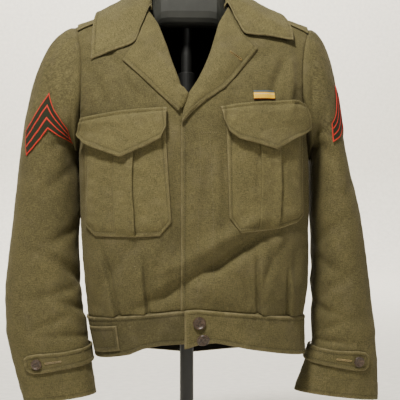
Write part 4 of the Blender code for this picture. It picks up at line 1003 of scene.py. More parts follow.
# Node helpers
def node(tree, kind, sockets=None, **settings):
    made = tree.nodes.new("ShaderNode" + kind)
    for name, value in settings.items():
        setattr(made, name, value)
    for name, value in (sockets or {}).items():
        if isinstance(value, bpy.types.NodeSocket):
            tree.links.new(value, made.inputs[name])
        else:
            made.inputs[name].default_value = value
    return made


def maths(tree, operation, first, second=0.0, third=0.0):
    return node(tree, "Math", {0: first, 1: second, 2: third}, operation=operation).outputs[0]


def spread(tree, value, low, high, to_low=0.0, to_high=1.0):
    found = node(tree, "MapRange", {"Value": value, "From Min": low, "From Max": high,
                                    "To Min": to_low, "To Max": to_high})
    return found.outputs["Result"]


def mixed(tree, share, first, second, blend="MIX"):
    made = tree.nodes.new("ShaderNodeMix")
    made.data_type = "RGBA"
    made.blend_type = blend
    for socket, value in ((made.inputs[0], share), (made.inputs[6], first), (made.inputs[7], second)):
        if isinstance(value, bpy.types.NodeSocket):
            tree.links.new(value, socket)
        elif isinstance(value, tuple):
            socket.default_value = (*value, 1.0)
        else:
            socket.default_value = value
    return made.outputs[2]


def noise(tree, vector, scale, detail=3.0, rough=0.55, lean=0.0):
    made = node(tree, "TexNoise", {"Vector": vector, "Scale": scale, "Detail": detail, "Roughness": rough,
                                   "Distortion": lean})
    return made.outputs["Fac"]


def start_group(name, takes, gives):
    """Node group with named sockets; returns its tree and its input node."""
    tree = bpy.data.node_groups.new(name, "ShaderNodeTree")
    for socket, value in takes:
        made = tree.interface.new_socket(socket, in_out="INPUT", socket_type="NodeSocketFloat")
        made.default_value = value
    for socket, kind in gives:
        tree.interface.new_socket(socket, in_out="OUTPUT", socket_type="NodeSocket" + kind)
    return tree, tree.nodes.new("NodeGroupInput")


def end_group(tree, results):
    out = tree.nodes.new("NodeGroupOutput")
    for socket, value in results.items():
        tree.links.new(value, out.inputs[socket])


def use_group(tree, group, values=None):
    made = tree.nodes.new("ShaderNodeGroup")
    made.node_tree = group
    for name, value in (values or {}).items():
        if isinstance(value, bpy.types.NodeSocket):
            tree.links.new(value, made.inputs[name])
        else:
            made.inputs[name].default_value = value
    return made


def twill_group():
    """Serge: fine diagonal ribs, yarns of uneven tone, and soft fibres over them."""
    tree, given = start_group("twill", [("Pitch", 0.0011), ("Slope", 1.0)],
                              [("Height", "Float"), ("Yarn", "Float"), ("Streak", "Float"),
                               ("Fuzz", "Float")])
    cloth_map = node(tree, "UVMap", uv_map="cloth").outputs["UV"]
    split = node(tree, "SeparateXYZ", {"Vector": cloth_map})
    slope = maths(tree, "MULTIPLY", split.outputs["Y"], given.outputs["Slope"])
    wander = noise(tree, cloth_map, 90.0, 2.0)
    place = maths(tree, "ADD", split.outputs["X"], slope)
    place = maths(tree, "ADD", place, maths(tree, "MULTIPLY", wander, 0.0006))
    turns = maths(tree, "MULTIPLY", maths(tree, "DIVIDE", place, given.outputs["Pitch"]), 2 * math.pi)
    rib = maths(tree, "MULTIPLY_ADD", maths(tree, "SINE", turns), 0.5, 0.5)
    rows_up = maths(tree, "DIVIDE", split.outputs["Y"], given.outputs["Pitch"])
    weft = maths(tree, "MULTIPLY", rows_up, 4 * math.pi)
    thread = maths(tree, "MULTIPLY_ADD", maths(tree, "SINE", weft), 0.2, 0.8)
    fuzz = noise(tree, cloth_map, 2600.0, 2.0, 0.7)
    height = maths(tree, "MULTIPLY", rib, thread)
    height = maths(tree, "MULTIPLY_ADD", fuzz, 0.55, height)
    wide = node(tree, "VectorMath", {0: cloth_map, 1: (900.0, 110.0, 1.0)}, operation="MULTIPLY").outputs[0]
    long = node(tree, "VectorMath", {0: cloth_map, 1: (130.0, 700.0, 1.0)}, operation="MULTIPLY").outputs[0]
    streak = maths(tree, "ADD", noise(tree, wide, 1.0, 2.0), noise(tree, long, 1.0, 2.0))
    yarn = maths(tree, "MULTIPLY_ADD", noise(tree, cloth_map, 1000.0, 2.0, 0.7), 0.6,
                 maths(tree, "MULTIPLY", noise(tree, cloth_map, 480.0, 2.0, 0.6), 0.4))
    half_streak = maths(tree, "MULTIPLY", streak, 0.5)
    end_group(tree, {"Height": height, "Yarn": yarn, "Streak": half_streak, "Fuzz": fuzz})
    return tree


def wear_and_highlight_group():
    """Large uneven tone of a much-worn garment: faded and dusty areas, and edges made paler partly by use
    and partly as a painted highlight.
    """
    tree, given = start_group("wear", [("Seed", 0.0)],
                              [("Tone", "Float"), ("Dust", "Float"), ("Rim", "Float"),
                                                        ("Specks", "Float")])
    place = node(tree, "TexCoord").outputs["Object"]
    place = node(tree, "VectorMath", {0: place, 1: given.outputs["Seed"]}, operation="ADD").outputs[0]
    tone = noise(tree, place, 9.0, 4.0, 0.55)
    patches = noise(tree, place, 38.0, 4.0, 0.6)
    dust = spread(tree, noise(tree, place, 26.0, 5.0, 0.7), 0.52, 0.78)
    rim = node(tree, "Attribute", attribute_name="rim", attribute_type="GEOMETRY").outputs["Fac"]
    # edges paler from use, and also a painted highlight along them
    rubbed_and_lit = maths(tree, "MULTIPLY", rim, spread(tree, noise(tree, place, 120.0, 3.0), 0.25, 0.60))
    dots = spread(tree, noise(tree, place, 420.0, 1.0), 0.74, 0.80)
    mean = maths(tree, "MULTIPLY_ADD", patches, 0.5, maths(tree, "MULTIPLY", tone, 0.5))
    end_group(tree, {"Tone": mean, "Dust": dust, "Rim": rubbed_and_lit, "Specks": dots})
    return tree


TWILL = twill_group()
WEAR_AND_HIGHLIGHT = wear_and_highlight_group()


def start_material(name, rough, **settings):
    look = bpy.data.materials.new(name)
    look.use_nodes = True
    tree = look.node_tree
    shader = tree.nodes["Principled BSDF"]
    shader.inputs["Roughness"].default_value = rough
    for socket, value in settings.items():
        shader.inputs[socket.replace("_", " ")].default_value = value
    return look, tree, shader


def wool(name, shade=(0.086, 0.0735, 0.0300), seed=0.0, slope=1.0, light=1.0, weave=0.00022):
    """Worn olive serge: ribs and fibres raised, tone broken by yarns, fading and dust, edges paler from use
    and brightened as a painted highlight, painted shade along the stitching and the pleats' edges, and the
    light factor scaling the whole colour to paint the light and shade that falls on each part.
    """
    look, tree, shader = start_material(name, 0.88, Sheen_Weight=0.07, Sheen_Roughness=0.40,
                                        Specular_IOR_Level=0.18)
    shader.inputs["Sheen Tint"].default_value = (0.85, 0.72, 0.45, 1.0)
    cloth_nodes = use_group(tree, TWILL, {"Slope": slope})
    worn = use_group(tree, WEAR_AND_HIGHLIGHT, {"Seed": seed})
    # light scales the colour: painted light and shade for this part
    shade = tuple(light * value for value in shade)
    dark = tuple(0.66 * value for value in shade)
    pale = (shade[0] * 1.32, shade[1] * 1.30, shade[2] * 1.24)
    base = mixed(tree, spread(tree, worn.outputs["Tone"], 0.36, 0.66), dark, pale)
    base = mixed(tree, 0.5, base, shade)
    yarn = spread(tree, cloth_nodes.outputs["Yarn"], 0.36, 0.64, 0.56, 1.42)
    streak = spread(tree, cloth_nodes.outputs["Streak"], 0.36, 0.64, 0.74, 1.26)
    # Painted shade: the colour darkens along the stitching and the pleats' edges
    groove_shade = node(tree, "Attribute", attribute_name="groove", attribute_type="GEOMETRY").outputs["Fac"]
    rib = spread(tree, cloth_nodes.outputs["Height"], 0.15, 1.25, 0.80, 1.14)
    factor = maths(tree, "MULTIPLY", maths(tree, "MULTIPLY", yarn, streak), rib)
    factor = maths(tree, "MULTIPLY", factor, spread(tree, groove_shade, 0.0, 1.0, 1.0, 0.72))
    grey = node(tree, "CombineColor", {"Red": factor, "Green": factor, "Blue": factor}).outputs["Color"]
    base = mixed(tree, 1.0, base, grey, "MULTIPLY")
    base = mixed(tree, maths(tree, "MULTIPLY", worn.outputs["Dust"], 0.16), base, (0.17, 0.14, 0.09))
    # Edges paler from use and brightened with a painted highlight
    base = mixed(tree, maths(tree, "MULTIPLY", worn.outputs["Rim"], 0.50), base, (0.19, 0.158, 0.085))
    base = mixed(tree, maths(tree, "MULTIPLY", worn.outputs["Specks"], 0.35), base, (0.24, 0.21, 0.15))
    tree.links.new(base, shader.inputs["Base Color"])
    bump_node = node(tree, "Bump", {"Height": cloth_nodes.outputs["Height"], "Strength": 0.75,
                                    "Distance": weave})
    tree.links.new(bump_node.outputs["Normal"], shader.inputs["Normal"])
    return look


def shaded_inside_look(name, shade):
    """Dull inner face of the cloth, darker than the outer wool as painted shade inside the jacket."""
    look, tree, shader = start_material(name, 0.92, Specular_IOR_Level=0.10)
    place = node(tree, "TexCoord").outputs["Object"]
    broken = spread(tree, noise(tree, place, 160.0, 3.0), 0.3, 0.7)
    tree.links.new(mixed(tree, broken, tuple(0.75 * v for v in shade), tuple(1.25 * v for v in shade)),
                   shader.inputs["Base Color"])
    return look


def thread_look(name, shade):
    look, tree, shader = start_material(name, 0.72, Sheen_Weight=0.2, Specular_IOR_Level=0.25)
    place = node(tree, "TexCoord").outputs["Object"]
    broken = spread(tree, noise(tree, place, 900.0, 2.0), 0.3, 0.7)
    tree.links.new(mixed(tree, broken, tuple(0.7 * v for v in shade), tuple(1.25 * v for v in shade)),
                   shader.inputs["Base Color"])
    return look


def button_look(name):
    """Swirled brown plastic with a worn shine and dirt in its hollows."""
    look, tree, shader = start_material(name, 0.42, Coat_Weight=0.08, Coat_Roughness=0.25,
                                        Specular_IOR_Level=0.4)
    place = node(tree, "TexCoord").outputs["Object"]
    swirl = noise(tree, place, 140.0, 4.0, 0.6, 1.6)
    base = mixed(tree, spread(tree, swirl, 0.35, 0.68), (0.013, 0.007, 0.004), (0.060, 0.033, 0.018))
    grime = spread(tree, noise(tree, place, 620.0, 3.0), 0.46, 0.66)
    base = mixed(tree, maths(tree, "MULTIPLY", grime, 0.35), base, (0.08, 0.06, 0.035))
    tree.links.new(base, shader.inputs["Base Color"])
    tree.links.new(spread(tree, grime, 0.0, 1.0, 0.34, 0.62), shader.inputs["Roughness"])
    ripples = node(tree, "Bump", {"Height": swirl, "Strength": 0.25, "Distance": 0.0002})
    tree.links.new(ripples.outputs["Normal"], shader.inputs["Normal"])
    return look


def plastic_look(name, shade, rough):
    """Black moulded plastic, handled: faint scuffs and dust."""
    look, tree, shader = start_material(name, rough, Specular_IOR_Level=0.5)
    place = node(tree, "TexCoord").outputs["Object"]
    cloudy = noise(tree, place, 30.0, 4.0, 0.6)
    scuff = spread(tree, noise(tree, place, 260.0, 4.0, 0.7), 0.58, 0.76)
    base = mixed(tree, spread(tree, cloudy, 0.35, 0.7), tuple(0.8 * v for v in shade),
                 tuple(1.3 * v for v in shade))
    base = mixed(tree, maths(tree, "MULTIPLY", scuff, 0.12), base, (0.10, 0.095, 0.085))
    tree.links.new(base, shader.inputs["Base Color"])
    tree.links.new(spread(tree, scuff, 0.0, 1.0, rough, rough + 0.2), shader.inputs["Roughness"])
    ripples = node(tree, "Bump", {"Height": cloudy, "Strength": 0.12, "Distance": 0.0006})
    tree.links.new(ripples.outputs["Normal"], shader.inputs["Normal"])
    return look


def banded_look(name, bands, rough, weave=0.0002):
    """Cloth whose colour changes across it: each band is its start (a share) and its colour."""
    look, tree, shader = start_material(name, rough, Sheen_Weight=0.03, Specular_IOR_Level=0.12)
    share = node(tree, "Attribute", attribute_name="share", attribute_type="GEOMETRY").outputs["Fac"]
    place = node(tree, "TexCoord").outputs["Object"]
    share = maths(tree, "ADD", share, spread(tree, noise(tree, place, 500.0, 2.0), 0.0, 1.0, -0.012, 0.012))
    base = mixed(tree, 0.0, bands[0][1], bands[0][1])
    for start, colour in bands[1:]:
        step = spread(tree, share, start - 0.008, start + 0.008)
        base = mixed(tree, step, base, colour)
    fibres = noise(tree, place, 1500.0, 3.0, 0.7)
    grey = spread(tree, fibres, 0.3, 0.7, 0.70, 1.25)
    tint = node(tree, "CombineColor", {"Red": grey, "Green": grey, "Blue": grey}).outputs["Color"]
    tree.links.new(mixed(tree, 1.0, base, tint, "MULTIPLY"), shader.inputs["Base Color"])
    nap = node(tree, "Bump", {"Height": fibres, "Strength": 0.6, "Distance": weave})
    tree.links.new(nap.outputs["Normal"], shader.inputs["Normal"])
    return look


def plain_look(name, shade, rough, mottle=0.06, scale=2.0):
    look, tree, shader = start_material(name, rough, Specular_IOR_Level=0.2)
    place = node(tree, "TexCoord").outputs["Object"]
    cloudy = spread(tree, noise(tree, place, scale, 3.0, 0.5), 0.3, 0.7, 1 - mottle, 1 + mottle)
    grey = node(tree, "CombineColor", {"Red": cloudy, "Green": cloudy, "Blue": cloudy}).outputs["Color"]
    tree.links.new(mixed(tree, 1.0, shade, grey, "MULTIPLY"), shader.inputs["Base Color"])
    return look


# Materials
# Copies of one wool whose light factor paints the light and shade on each part: lighter for the flaps,
# epaulets and pockets, darker for the body, sleeves and bands, darker still for the right front, and darkest
# for the wearer's right waistband and its waist tab.
WOOL = {
    "body": wool("wool_body", seed=0.0, light=0.88),
    "right": wool("wool_right", seed=3.1, light=0.84),
    "sleeve": wool("wool_sleeve", seed=5.7, light=0.88),
    "trim": wool("wool_trim", seed=8.3, slope=-1.0, light=1.14),
    "pocket": wool("wool_pocket", seed=9.6, light=1.10),
    "band": wool("wool_band", seed=11.0, light=0.90),
    "band_right": wool("wool_band_right", seed=12.3, light=0.66),
    "collar": wool("wool_collar", seed=14.9, slope=-1.0, light=1.02),
}
# Near-black inner faces of the back, sleeves and waistbands, and the buttonhole slits: painted shade; the
# fronts' inner face is darkened less.
INSIDE_SHADE = shaded_inside_look("inside_dark", (0.006, 0.0055, 0.004))
INSIDE = shaded_inside_look("inside_wool", (0.036, 0.029, 0.015))
THREAD_LOOK = thread_look("sewing_thread", (0.085, 0.068, 0.030))
GOLD_THREAD = thread_look("buttonhole_thread", (0.420, 0.310, 0.110))
PALE_THREAD = thread_look("pale_thread", (0.240, 0.200, 0.125))
BUTTONS = button_look("button_brown")
FORM_LOOK = plastic_look("form_black", (0.021, 0.022, 0.018), 0.5)
STAND_LOOK = plastic_look("stand_black", (0.005, 0.0052, 0.0045), 0.45)
GREEN = (0.016, 0.018, 0.009)
RED = (0.400, 0.026, 0.016)
CHEVRON_BANDS = [(0.0, RED), (0.060, GREEN), (0.300, RED), (0.365, GREEN), (0.635, RED), (0.700, GREEN),
                 (0.940, RED)]
CHEVRON_LOOK = banded_look("chevron_felt", CHEVRON_BANDS, 0.85)
RIBBON_BANDS = [(0.0, (0.090, 0.014, 0.009)), (0.13, (0.640, 0.370, 0.016)), (0.58, (0.560, 0.500, 0.330)),
                (0.63, (0.640, 0.370, 0.016)), (0.78, (0.055, 0.075, 0.085))]
RIBBON_LOOK = banded_look("ribbon_silk", RIBBON_BANDS, 0.6)


def seam_pucker(away, along, seed):
    """Cloth drawn in at a seam: a shallow groove with small uneven waves beside it."""
    waves = np.sin(along / 0.0115 * 2 * math.pi + 1.7 * np.sin(along / 0.047 * 6.283 + seed))
    return -0.0007 * np.exp(-(away / 0.0025) ** 2) + 0.00035 * waves * np.exp(-((away - 0.006) / 0.006) ** 2)


def front_cloth(side):
    rows, columns = 170, 150
    sign = -1 if side == "right" else 1
    level = np.concatenate([np.linspace(0.0, 7.0, rows - 16), np.linspace(7.05, 8.0, 16)])
    middle = column(FRONT, "middle", level)
    start = fold_line(side, middle)
    for _ in range(6):
        wide = reach(FRONT, start, level)
        drop = (column(FRONT, "side", level) - middle) * np.abs(start) / wide
        start = fold_line(side, middle + drop)
    x = angle_step(FRONT, start, level, columns, sign)
    points = torso_at(FRONT, x, level[:, None])
    if sign < 0:
        points = points[:, ::-1]
    normal = grid_normals(points)
    across, up = lengths(points)
    relief = front_relief(points[..., 0], points[..., 2])
    if sign > 0:
        relief = relief + lap(points[..., 0], points[..., 2])
    seam = across if sign < 0 else across[:, -1:] - across
    relief = relief + seam_pucker(seam, up, sign) + seam_pucker(up, across, 2.0) * 1.2
    relief = relief + 0.00035 * ripple(points[..., 0], points[..., 2], 2 + sign, 0.045)
    rim = rim_distance(points, "r" if sign < 0 else "l")
    open_part = 1 - ramp(points[..., 2], 0.600, 0.625)
    relief = relief + welt(rim) * open_part
    points = moved_out(points, normal, relief)
    points[..., 1] -= SEAM * 1.5
    # painted shade along the pleats' folded edges
    pleat_shade = pleat_lines(PLEATS, points[..., 0], points[..., 2])
    outside = WOOL["body" if sign > 0 else "right"]
    made = cloth("front_" + side, points, [outside, INSIDE], rim=rim, pleat_shade=pleat_shade)
    if sign > 0:
        sew_edge(points, "l", WELT, 0.02, 0.56)
    return made


def back_cloth():
    rows, columns = 140, 181
    level = np.concatenate([np.linspace(0.0, 7.0, rows - 16), np.linspace(7.05, 8.0, 16)])
    half = columns // 2 + 1
    zero = np.zeros(rows)
    left = angle_step(BACK, zero, level, half, 1)
    right = angle_step(BACK, zero, level, half, -1)
    x = np.concatenate([left[:, ::-1], right[:, 1:]], axis=1)
    top = neckline(x[-1])
    grid = level[:, None] * (1 - (1 - top)[None, :] * ramp(level[:, None], 4.0, 8.0))
    points = torso_at(BACK, x, grid)
    normal = grid_normals(points)
    across, up = lengths(points)
    seam = np.minimum(across, across[:, -1:] - across)
    relief = back_relief(points[..., 0], points[..., 2])
    relief = relief + seam_pucker(seam, up, 4.0) + seam_pucker(up, across, 5.0) * 1.2
    relief = relief + 0.0004 * ripple(points[..., 0], points[..., 2], 5, 0.050)
    points = moved_out(points, normal, relief)
    points[..., 1] += SEAM * 1.5
    return cloth("back", points, [WOOL["body"], INSIDE_SHADE])


def sleeve_cloth(side):
    around, rows = 112, 176
    sign = -1 if side == "right" else 1
    angle = np.arange(around) * 2 * math.pi / around * -sign
    along = np.concatenate([np.linspace(0, 1, 40, endpoint=False), np.linspace(1, 5.9, rows - 50),
                            np.linspace(5.92, 6.0, 10)])
    a, b = along[:, None], angle[None, :]
    points = sleeve_out(side, a, b, 0.0)
    across, up = lengths(points)
    down = up[-1:] - up
    relief = 0.0008 * np.exp(-(up / 0.006) ** 2) - 0.0010 * np.exp(-(up / 0.0014) ** 2)
    beside = np.exp(-((up - 0.012) / 0.010) ** 2)
    waves = np.sin(b * 23 + 2 * np.sin(b * 5)) * beside * np.clip(np.cos(b) + 0.5, 0, 1)
    relief = relief + 0.0006 * waves
    relief = relief + 0.0004 * ripple(b * 0.055, up, 7 + sign, 0.050) * ramp(up, 0.0, 0.03)
    relief = relief + 0.00030 * np.exp(-(down / 0.030) ** 6)
    relief = relief - 0.0005 * bump(down, 0.030, 0.0013) - 0.0006 * np.exp(-(down / 0.0009) ** 2)
    points = sleeve_out(side, a, b, relief) + np.array([sign * SEAM * 3, 0, 0])
    rim = np.where(down < up, down, 1.0)
    hole = armhole(sign, angle)
    centre = np.array([0.0, 0.0, 0.0]) + hole.mean(axis=0) * np.array([0.80, 1.0, 1.0])
    tucked = [hole + (centre - hole) / np.linalg.norm(centre - hole, axis=-1, keepdims=True) * far + shift
              for far, shift in ((0.0075, np.array([-sign * 0.0030, 0, 0])), (0.0038, np.zeros(3)))]
    points = np.concatenate([np.stack(tucked), points])
    rim = np.concatenate([np.ones((2, around)), rim])
    made = cloth("sleeve_" + side, points[::-1], [WOOL["sleeve"], INSIDE_SHADE], ring=True, rim=rim[::-1])
    points = points[2:]
    lines = [np.interp(0.030, down[::-1, c], np.arange(rows)[::-1]) for c in range(around)]
    low = np.floor(lines).astype(int)
    share = (np.array(lines) - low)[:, None]
    above = np.minimum(low + 1, rows - 1)
    line = points[low, range(around)] * (1 - share) + points[above, range(around)] * share
    out = sleeve_normal(SLEEVE_RIGHT if sign < 0 else SLEEVE_LEFT, sign, np.array(5.5), angle)
    closed = np.concatenate([line, line[:1]])
    sew(closed, np.concatenate([out, out[:1]]))
    return made


def outline_grid(low, top, between, coarse, low_edge=True, high_edge=False):
    columns = np.linspace(0, 1, (len(low) - 1) * between + 1)
    long = float(np.linalg.norm(np.array(top[len(top) // 2]) - np.array(low[len(low) // 2])))
    return patch(low, top, columns, edge_steps(long, coarse, low_edge, high_edge))


def pocket_cloth(side, low, top, middle):
    grid = outline_grid(low, top, 17, 0.0022)
    x, z = grid[..., 0], grid[..., 1]
    flat = front_at(x, z, 0.0)
    away = rim_distance(flat, "lrb")
    edge = ramp(away, 0.0, 0.020)
    up = ramp(away, 0.0005, 0.0060)
    seed = 1.0 if side == "right" else 4.0
    swell = REST + CLOTH + 0.0003 + POCKET_SWELL * 0.7 * edge + 0.0006 * ripple(x, z, seed, 0.050) * edge
    beside = bump(np.abs(x - middle), PLEAT_HALF + 0.004, 0.0045)
    points = front_at(x, z, swell + welt(away) - 0.0008 * beside * up)
    made = cloth("pocket_" + side, points, WOOL["pocket"], rim=away)
    for where in "lrb":
        sew_edge(points, where)
    low_end = float(np.interp(middle, x[0], z[0]))
    top_end = float(np.interp(middle, x[-1], z[-1]))
    rows = np.linspace(0, 1, 100)[:, None]
    wide = np.linspace(-1, 1, 33)[None, :]
    tall = low_end + 0.0012 + (top_end - 0.004 - low_end) * rows + 0 * wide
    bend = 0.0014 * np.sin(tall * 45 + seed) + 0.0010 * (1 - rows) * (1 if side == "right" else -1)
    strip = middle + bend + PLEAT_HALF * wide * (1 + 0.04 * (1 - rows))
    level = REST + CLOTH + 0.0003 + POCKET_SWELL * 0.7 * ramp(tall - low_end, 0.0, 0.020)
    rise = 0.0016 + 0.0030 * ramp(wide, 0.1, 0.98) + 0.0006 * ramp(-wide, 0.3, 0.98)
    rise = rise * ramp(rows, -0.02, 0.05) - 0.0009 * np.exp(-((1 - np.abs(wide)) / 0.05) ** 2)
    rise = rise + 0.0004 * ripple(strip, tall, seed + 2, 0.030)
    pleat = front_at(strip, tall, level + rise)
    cloth("pleat_" + side, pleat, WOOL["pocket"], wall=0.0014, nodes=["pocket_" + side], held="folded")
    return made


def flap_cloth(side, low, top, lift):
    grid = outline_grid(low, top, 17, 0.0020)
    x, z = grid[..., 0], grid[..., 1]
    flat = front_at(x, z, 0.0)
    away = rim_distance(flat, "lrb")
    across = np.linspace(0, 1, grid.shape[1])[None, :]
    _, height = lengths(flat)
    up = height / height[-1:]
    out = lift + 0.0012 * np.sin(math.pi * across) + 0.0046 * (1 - up) - 0.0045 * ramp(up, 0.75, 1.0)
    out = out + welt(away) + 0.0005 * ripple(x, z, 2.5 if side == "right" else 6.5, 0.040)
    top_line = (1 - up) * height[-1:]
    out = out + 0.0016 * bump(top_line, 0.0024, 0.0022) - 0.0012 * bump(top_line, 0.0060, 0.0012)
    points = front_at(x, z, out)
    made = cloth("flap_" + side, points, WOOL["trim"], wall=DOUBLE, rim=away)
    for where in "lrbt":
        sew_edge(points, where, WELT)
    return made


def lapel_cloth(side, fold, edge, top, lift):
    count = 84
    up = np.linspace(0, 1, count)
    long = float(np.abs(polyline(edge, 0.7)[0] - polyline(fold, 0.7)[0]))
    out = edge_steps(max(long, 0.05), 0.0022, False, True)
    inner = polyline(fold, up)[:, None, :]
    outer = polyline(edge, up)[:, None, :]
    share = out[None, :, None]
    grid = inner * (1 - share) + outer * share
    straight = inner[-1] * (1 - out[:, None]) + outer[-1] * out[:, None]
    grid = grid + (polyline(top, out) - straight)[None] * (up[:, None, None] ** 3)
    x, z = grid[..., 0], grid[..., 1]
    flat = front_at(x, z, 0.0)
    away = rim_distance(flat, "r")
    rise = lift + 0.0035 * np.sin(math.pi * out)[None, :] * np.ones((count, 1))
    rise = rise + welt(away) + 0.0004 * ripple(x, z, 3.5, 0.040)
    points = front_at(x, z, rise)
    normal = grid_normals(points)
    turned_back = []
    reach_out = points[:, 0] - points[:, 4]
    reach_out = reach_out / np.linalg.norm(reach_out, axis=-1, keepdims=True)
    outward = front_at(x[:, :1], z[:, :1], 0.01)[:, 0] - front_at(x[:, :1], z[:, :1], 0.0)[:, 0]
    outward = outward / np.linalg.norm(outward, axis=-1, keepdims=True)
    size = 0.0033 * ramp(up, 0.0, 0.12)[:, None] + 0.0005
    for turn in np.radians([150, 120, 90, 60, 30]):
        ahead = size * math.sin(turn)
        drop = size * (1 - math.cos(turn))
        turned_back.append(points[:, 0] + reach_out * ahead - outward * drop)
    points = np.concatenate([np.stack(turned_back, axis=1), points], axis=1)
    away = np.concatenate([np.ones((count, 5)), away], axis=1)
    flip = fold[0][0] > edge[0][0]
    if flip:
        points = points[:, ::-1]
        away = away[:, ::-1]
    made = cloth("lapel_" + side, points, WOOL["collar"], wall=0.0020, rim=away, held="folded")
    sew_edge(points, "l" if flip else "r", WELT, 0.02, 1.0)
    return made


def collar_cloth():
    columns, rows = 190, 46
    sections = collar_sections()
    places = np.linspace(0, len(sections) - 1, columns)
    steps = np.concatenate([np.linspace(0, 1.5, 9), np.linspace(1.6, 5.6, rows - 18),
                            np.linspace(5.65, 6, 9)])
    smooth = np.empty((columns, sections.shape[1], 3))
    for point in range(sections.shape[1]):
        for axis in range(3):
            smooth[:, point, axis] = follow(range(len(sections)), sections[:, point, axis], places)
    points = np.empty((rows, columns, 3))
    for station in range(columns):
        for axis in range(3):
            points[:, station, axis] = follow(range(sections.shape[1]), smooth[station, :, axis], steps)
    points[9:] = lifted_clear(points[9:])
    away = rim_distance(points, "lrt")
    normal = grid_normals(points)
    soft = 0.0004 * ripple(points[..., 0], points[..., 2], 9, 0.045)
    points = moved_out(points, normal, welt(away) + soft)
    # The left fall stands off the chest towards its front edge
    fall = np.linspace(0, 1, rows)[:, None] ** 2 * np.exp(-(np.arange(columns)[None, :] / 26.0) ** 2)
    fall = fall if points[-1, 0, 0] > 0 else fall[:, ::-1]
    points = moved_out(points, normal, 0.0065 * fall)
    made = cloth("collar", points, WOOL["collar"], wall=DOUBLE, rim=away, held="folded")
    sew_edge(points, "t")
    sew_edge(points, "l", WELT, 0.45, 0.98)
    sew_edge(points, "r", WELT, 0.45, 0.98)
    return made


def band_cloth(side):
    down = edge_steps(0.055, 0.0022)[:, None]
    if side == "back":
        left = angle_step(BACK, np.zeros(1), np.zeros(1), 75, 1)
        right = angle_step(BACK, np.zeros(1), np.zeros(1), 75, -1)
        x = np.concatenate([left[:, ::-1], right[:, 1:]], axis=1)
        table, over, shift = BACK, 0.0, SEAM * 3
    else:
        sign = -1 if side == "right" else 1
        start = np.array([0.016 if side == "right" else TAB_END])
        x = angle_step(FRONT, start, np.zeros(1), 105, sign)
        x = x[:, ::-1] if sign < 0 else x
        table, over, shift = FRONT, 1.0 if sign > 0 else 0.0, -SEAM * 3
    flat = band_at(table, x, down, 0.0, over=over)
    ends = {"right": "r", "left": "l", "back": ""}[side]
    away = rim_distance(flat, ends + "tb")
    across, up = lengths(flat)
    gather = np.sin(across / 0.017 * 6.283 + 1.5 * np.sin(across / 0.06 * 6.283))
    out = welt(away) + 0.0005 * gather * np.exp(-(up / 0.014) ** 2) + 0.0004 * ripple(across, up, 6, 0.045)
    points = band_at(table, x, down, out, over=over)
    tucked = [band_at(table, x, np.full((1, 1), high), deep, over=over) for high, deep in
              ((-0.16, -0.0095), (-0.07, -0.0080), (-0.012, -0.0040))]
    points = np.concatenate(tucked + [points])
    away = np.concatenate([np.ones((3, away.shape[1])), away])
    points[..., 1] += shift
    points, away = points[::-1], away[::-1]
    look = WOOL["band_right" if side == "right" else "band"]
    made = cloth("waistband_" + side, points, [look, INSIDE_SHADE], wall=DOUBLE, rim=away)
    for where in ends + "b":
        sew_edge(points, where)
    return made


def waist_tab_cloth(side, table, wide, near, far):
    angle = np.radians(np.linspace(near, far, 60))
    x = (wide * np.sin(angle) ** (2 / table[0].square))[None, :]
    down = np.linspace(0.22, 0.86, 30)[:, None]
    flat = band_at(table, x, down, 0.0)
    away = rim_distance(flat, "lrtb")
    points = band_at(table, x, down, REST + CLOTH + 0.0005 + welt(away, 0.0005))[::-1]
    made = cloth("waist_tab_" + side, points, WOOL["band_right"], rim=away[::-1])
    for where in "lrtb":
        sew_edge(points, where)
    return made


def cuff_tab_cloth(side):
    grid = patch(CUFF_LOW, CUFF_TOP, np.linspace(0, 1, (len(CUFF_LOW) - 1) * 18 + 1), np.linspace(0, 1, 30))
    angle = np.radians(grid[..., 0])
    flat = sleeve_out(side, grid[..., 1], angle, 0.0)
    away = rim_distance(flat, "lrtb")
    points = sleeve_out(side, grid[..., 1], angle, REST + DOUBLE + 0.0003 + welt(away, 0.0005))
    higher = sleeve_out(side, grid[..., 1], angle, 0.01)
    flip = np.sum(grid_normals(points) * (higher - points)) < 0
    if flip:
        points, away = points[:, ::-1], away[:, ::-1]
    made = cloth("cuff_tab_" + side, points, WOOL["band"], wall=DOUBLE, rim=away)
    for where in "tb":
        sew_edge(points, where, WELT, 0.08 if not flip else 0.0, 1.0 if not flip else 0.92)
    return made


def share_attribute(made, values):
    spot = made.data.attributes.new("share", "FLOAT", "POINT")
    spot.data.foreach_set("value", np.asarray(values, float).reshape(-1))


def chevron_cloth(side, place):
    across = np.linspace(0, 1, 121)
    down = np.linspace(0, 1, 61)
    grid = patch(CHEVRON_LOW, CHEVRON_TOP, across, down)
    along, angle = on_sleeve(side, place, grid[..., 0], grid[..., 1])
    share = np.broadcast_to(down[:, None], along.shape)
    ends = np.minimum(across, 1 - across)[None, :] + 0 * down[:, None]
    piping = sum(bump(share, line, 0.024) for line in (0.03, 0.333, 0.668, 0.97))
    piping = np.maximum(np.minimum(piping, 1), bump(ends, 0.012, 0.009))
    out = REST + 0.0018 + 0.0006 * piping
    points = sleeve_out(side, along, angle, out)
    higher = sleeve_out(side, along, angle, 0.01)
    marked = np.where(ends < 0.024, 0.02, share)
    if np.sum(grid_normals(points) * (higher - points)) < 0:
        points, marked = points[:, ::-1], marked[:, ::-1]
    made = cloth("chevron_" + side, points, CHEVRON_LOOK, wall=0.0012)
    share_attribute(made, marked)
    return made


